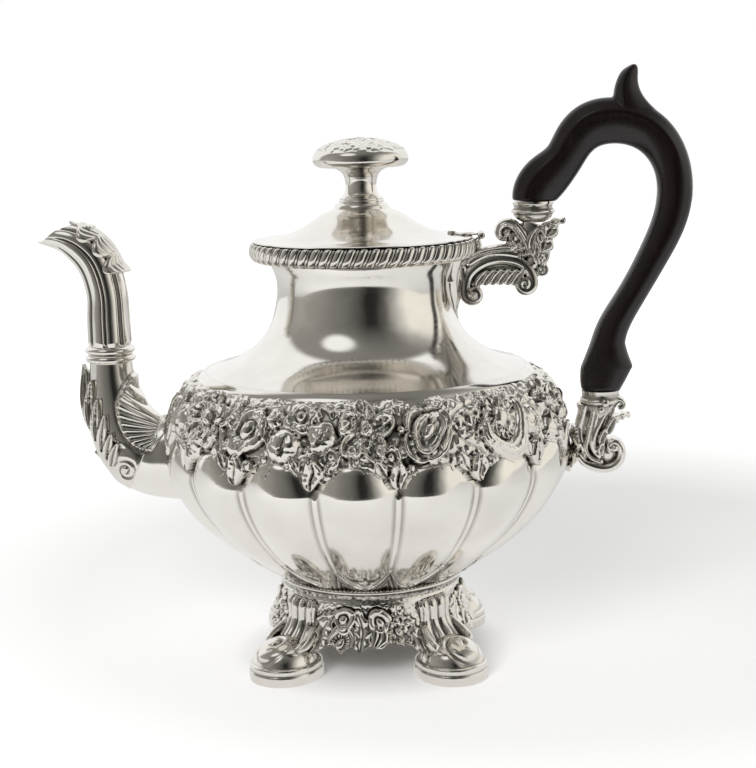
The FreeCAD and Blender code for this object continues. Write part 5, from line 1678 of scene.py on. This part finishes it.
@dataclass
class Studio:
    """White table, a soft lamp, pale surround with a dim front, and the camera."""

    table_front: float = -0.36
    table_half: float = 3.0
    place: Triple = (0.03866, -0.64531, 0.22454)
    right: Triple = (0.99855, 0.04817, -0.02407)
    up: Triple = (0.01549, 0.17120, 0.98511)
    sensor: float = 36.0
    frame_pixels: float = 756.0
    focal_pixels: float = 1600.0
    window: Triple = (-0.374, -0.462, 0.804)
    ahead: Triple = (0.099, -0.936, -0.338)
    lamp: Triple = (-0.346, -1.091, 0.716)
    lamp_aim: Triple = (0.0, 0.0, 0.08)
    lamp_size: float = 0.6
    lamp_power: float = 9.0
    table_shown: float = 0.37
    surround_fill: float = 0.5

    # How light the dim front is, from far left to far right.
    FRONT = ((0.0, 0.42), (0.05, 0.32), (0.25, 0.2), (0.45, 0.1), (0.56, 0.02), (0.66, 0.025),
             (0.75, 0.12), (0.85, 0.5), (0.93, 0.95))

    def make(self) -> None:
        """Set up the studio."""
        scene = bpy.context.scene
        scene.view_settings.view_transform = "Standard"
        self.make_table()
        self.make_surround()
        light = bpy.data.lights.new("window", "AREA")
        light.size, light.energy = self.lamp_size, self.lamp_power
        back = np.subtract(self.lamp, self.lamp_aim)
        lamp = self.stand("window", light, self.lamp, np.cross(ACROSS, back), back)
        lamp.visible_glossy = False
        lens = bpy.data.cameras.new("camera")
        lens.sensor_fit, lens.sensor_width, lens.clip_start = "HORIZONTAL", self.sensor, 0.01
        lens.lens = self.focal_pixels / self.frame_pixels * self.sensor
        scene.camera = self.stand("camera", lens, self.place, self.right, np.cross(self.right, self.up))

    @staticmethod
    def stand(name: str, data: Any, place: Triple, side: Any, back: Any) -> bpy.types.Object:
        """Set up a lamp or a camera.

        Args:
            name: Its name.
            data: What it is.
            place: Where it stands, in metres.
            side: Direction to its right.
            back: Direction behind it.

        Returns:
            The object.
        """
        side, back = (np.asarray(way) / np.linalg.norm(way) for way in (side, back))
        turn = Matrix(np.stack([side, np.cross(back, side), back], 1).tolist()).to_4x4()
        thing = bpy.data.objects.new(name, data)
        thing.matrix_world = Matrix.Translation(place) @ turn
        bpy.context.scene.collection.objects.link(thing)
        return thing

    def make_table(self) -> None:
        """Lay the white table that shows the object's shadow, with a painted shadow under the pot where
        its glow fades.
        """
        mesh = bpy.data.meshes.new("table")
        x, near, far = self.table_half, self.table_front, self.table_half
        mesh.from_pydata([(-x, near, 0), (x, near, 0), (x, far, 0), (-x, far, 0)], [], [(0, 1, 2, 3)])
        table = bpy.data.objects.new("table", mesh)
        bpy.context.scene.collection.objects.link(table)
        material, wiring, place = new_material("table_white")
        paper = wiring.noise(place, 400.0, 3.0)
        tone = wiring.blend(paper, (0.86, 0.86, 0.86, 1), (0.9, 0.9, 0.9, 1))
        matte = wiring.add("BsdfDiffuse", {"Color": tone})
        light = wiring.add("LightPath").outputs
        apart = wiring.span(wiring.vector("DISTANCE", place, (0.05, 0.1, 0.0)), 0.2, 0.5, 0.45)
        # Painted shadow: the camera-ray glow fades out within 2 to 6 cm of the pot's axis, so the floor
        # under the pot is darker than its light makes it.
        clear = wiring.span(wiring.vector("DISTANCE", place, (0.0, 0.0, 0.0)), 0.02, 0.06)
        seen = wiring.math("MULTIPLY", light["Is Camera Ray"], apart)
        seen = wiring.math("MULTIPLY", seen, clear)
        shown = wiring.math("MAXIMUM", light["Is Glossy Ray"], light["Is Transmission Ray"])
        lift = wiring.math("MULTIPLY_ADD", shown, self.table_shown, seen)
        glow = wiring.add("Emission", {"Strength": lift})
        both = wiring.add("AddShader", {0: matte.outputs[0], 1: glow.outputs[0]})
        wiring.add("OutputMaterial", {"Surface": both.outputs[0]})
        mesh.materials.append(material)

    def make_surround(self) -> None:
        """Surround of white with a dim studio in front of the table and a soft window in it."""
        world = bpy.data.worlds.new("surround")
        bpy.context.scene.world = world
        world.use_nodes = True
        wiring = Wiring(world.node_tree)
        way = wiring.add("TexCoord").outputs["Generated"]
        split = wiring.add("SeparateXYZ", {0: way}).outputs
        facing = wiring.vector("DOT_PRODUCT", way, self.ahead)
        front = wiring.span(facing, -0.54, -0.4, kind="SMOOTHSTEP")
        uneven = wiring.math("MULTIPLY_ADD", wiring.noise(way, 2.2, 2.0), 0.12, 0.44)
        dim = wiring.add("ValToRGB", {"Fac": wiring.math("MULTIPLY_ADD", split["X"], 0.5, uneven)})
        stops = dim.color_ramp.elements
        for index, (place, grey) in enumerate(self.FRONT):
            stop = stops[index] if index < 2 else stops.new(place)
            stop.position, stop.color = place, (grey, 0.97 * grey, 0.9 * grey, 1)
        above = wiring.span(split["Z"], 0.4, 1.0, 0.0, 0.6)
        dark = wiring.blend(above, dim.outputs[0], (0.34, 0.33, 0.31, 1))
        spot = wiring.vector("DOT_PRODUCT", way, self.window)
        light = wiring.add("LightPath").outputs
        tone = wiring.blend(front, WHITE, dark)
        tone = wiring.blend(wiring.span(spot, 0.95, 0.985, kind="SMOOTHSTEP"), tone, WHITE)
        tone = wiring.blend(light["Is Camera Ray"], tone, WHITE)
        shown = wiring.math("MAXIMUM", light["Is Glossy Ray"], light["Is Transmission Ray"])
        shown = wiring.math("MAXIMUM", shown, light["Is Camera Ray"])
        strength = wiring.math("MULTIPLY_ADD", shown, 1 - self.surround_fill, self.surround_fill)
        sky = wiring.add("Background", {"Color": tone, "Strength": strength})
        wiring.add("OutputWorld", {"Surface": sky.outputs[0]})


def main() -> None:
    """Build every sub-assembly, then the studio."""
    logging.basicConfig(level=logging.INFO, format="%(name)s %(message)s")
    shop = Workshop()
    bowl, neck = Bowl(), Neck()
    for assembly in (
        bowl, Belt(bowl), neck, Rim(), Lid(), Hinge(), Spout(bowl), Grip(),
        UpperSocket("upper", 68.7, neck), LowerSocket("lower", 95.5, bowl), Base(),
    ):
        assembly.make(shop)
    Studio().make()


if __name__ == "__main__":
    main()
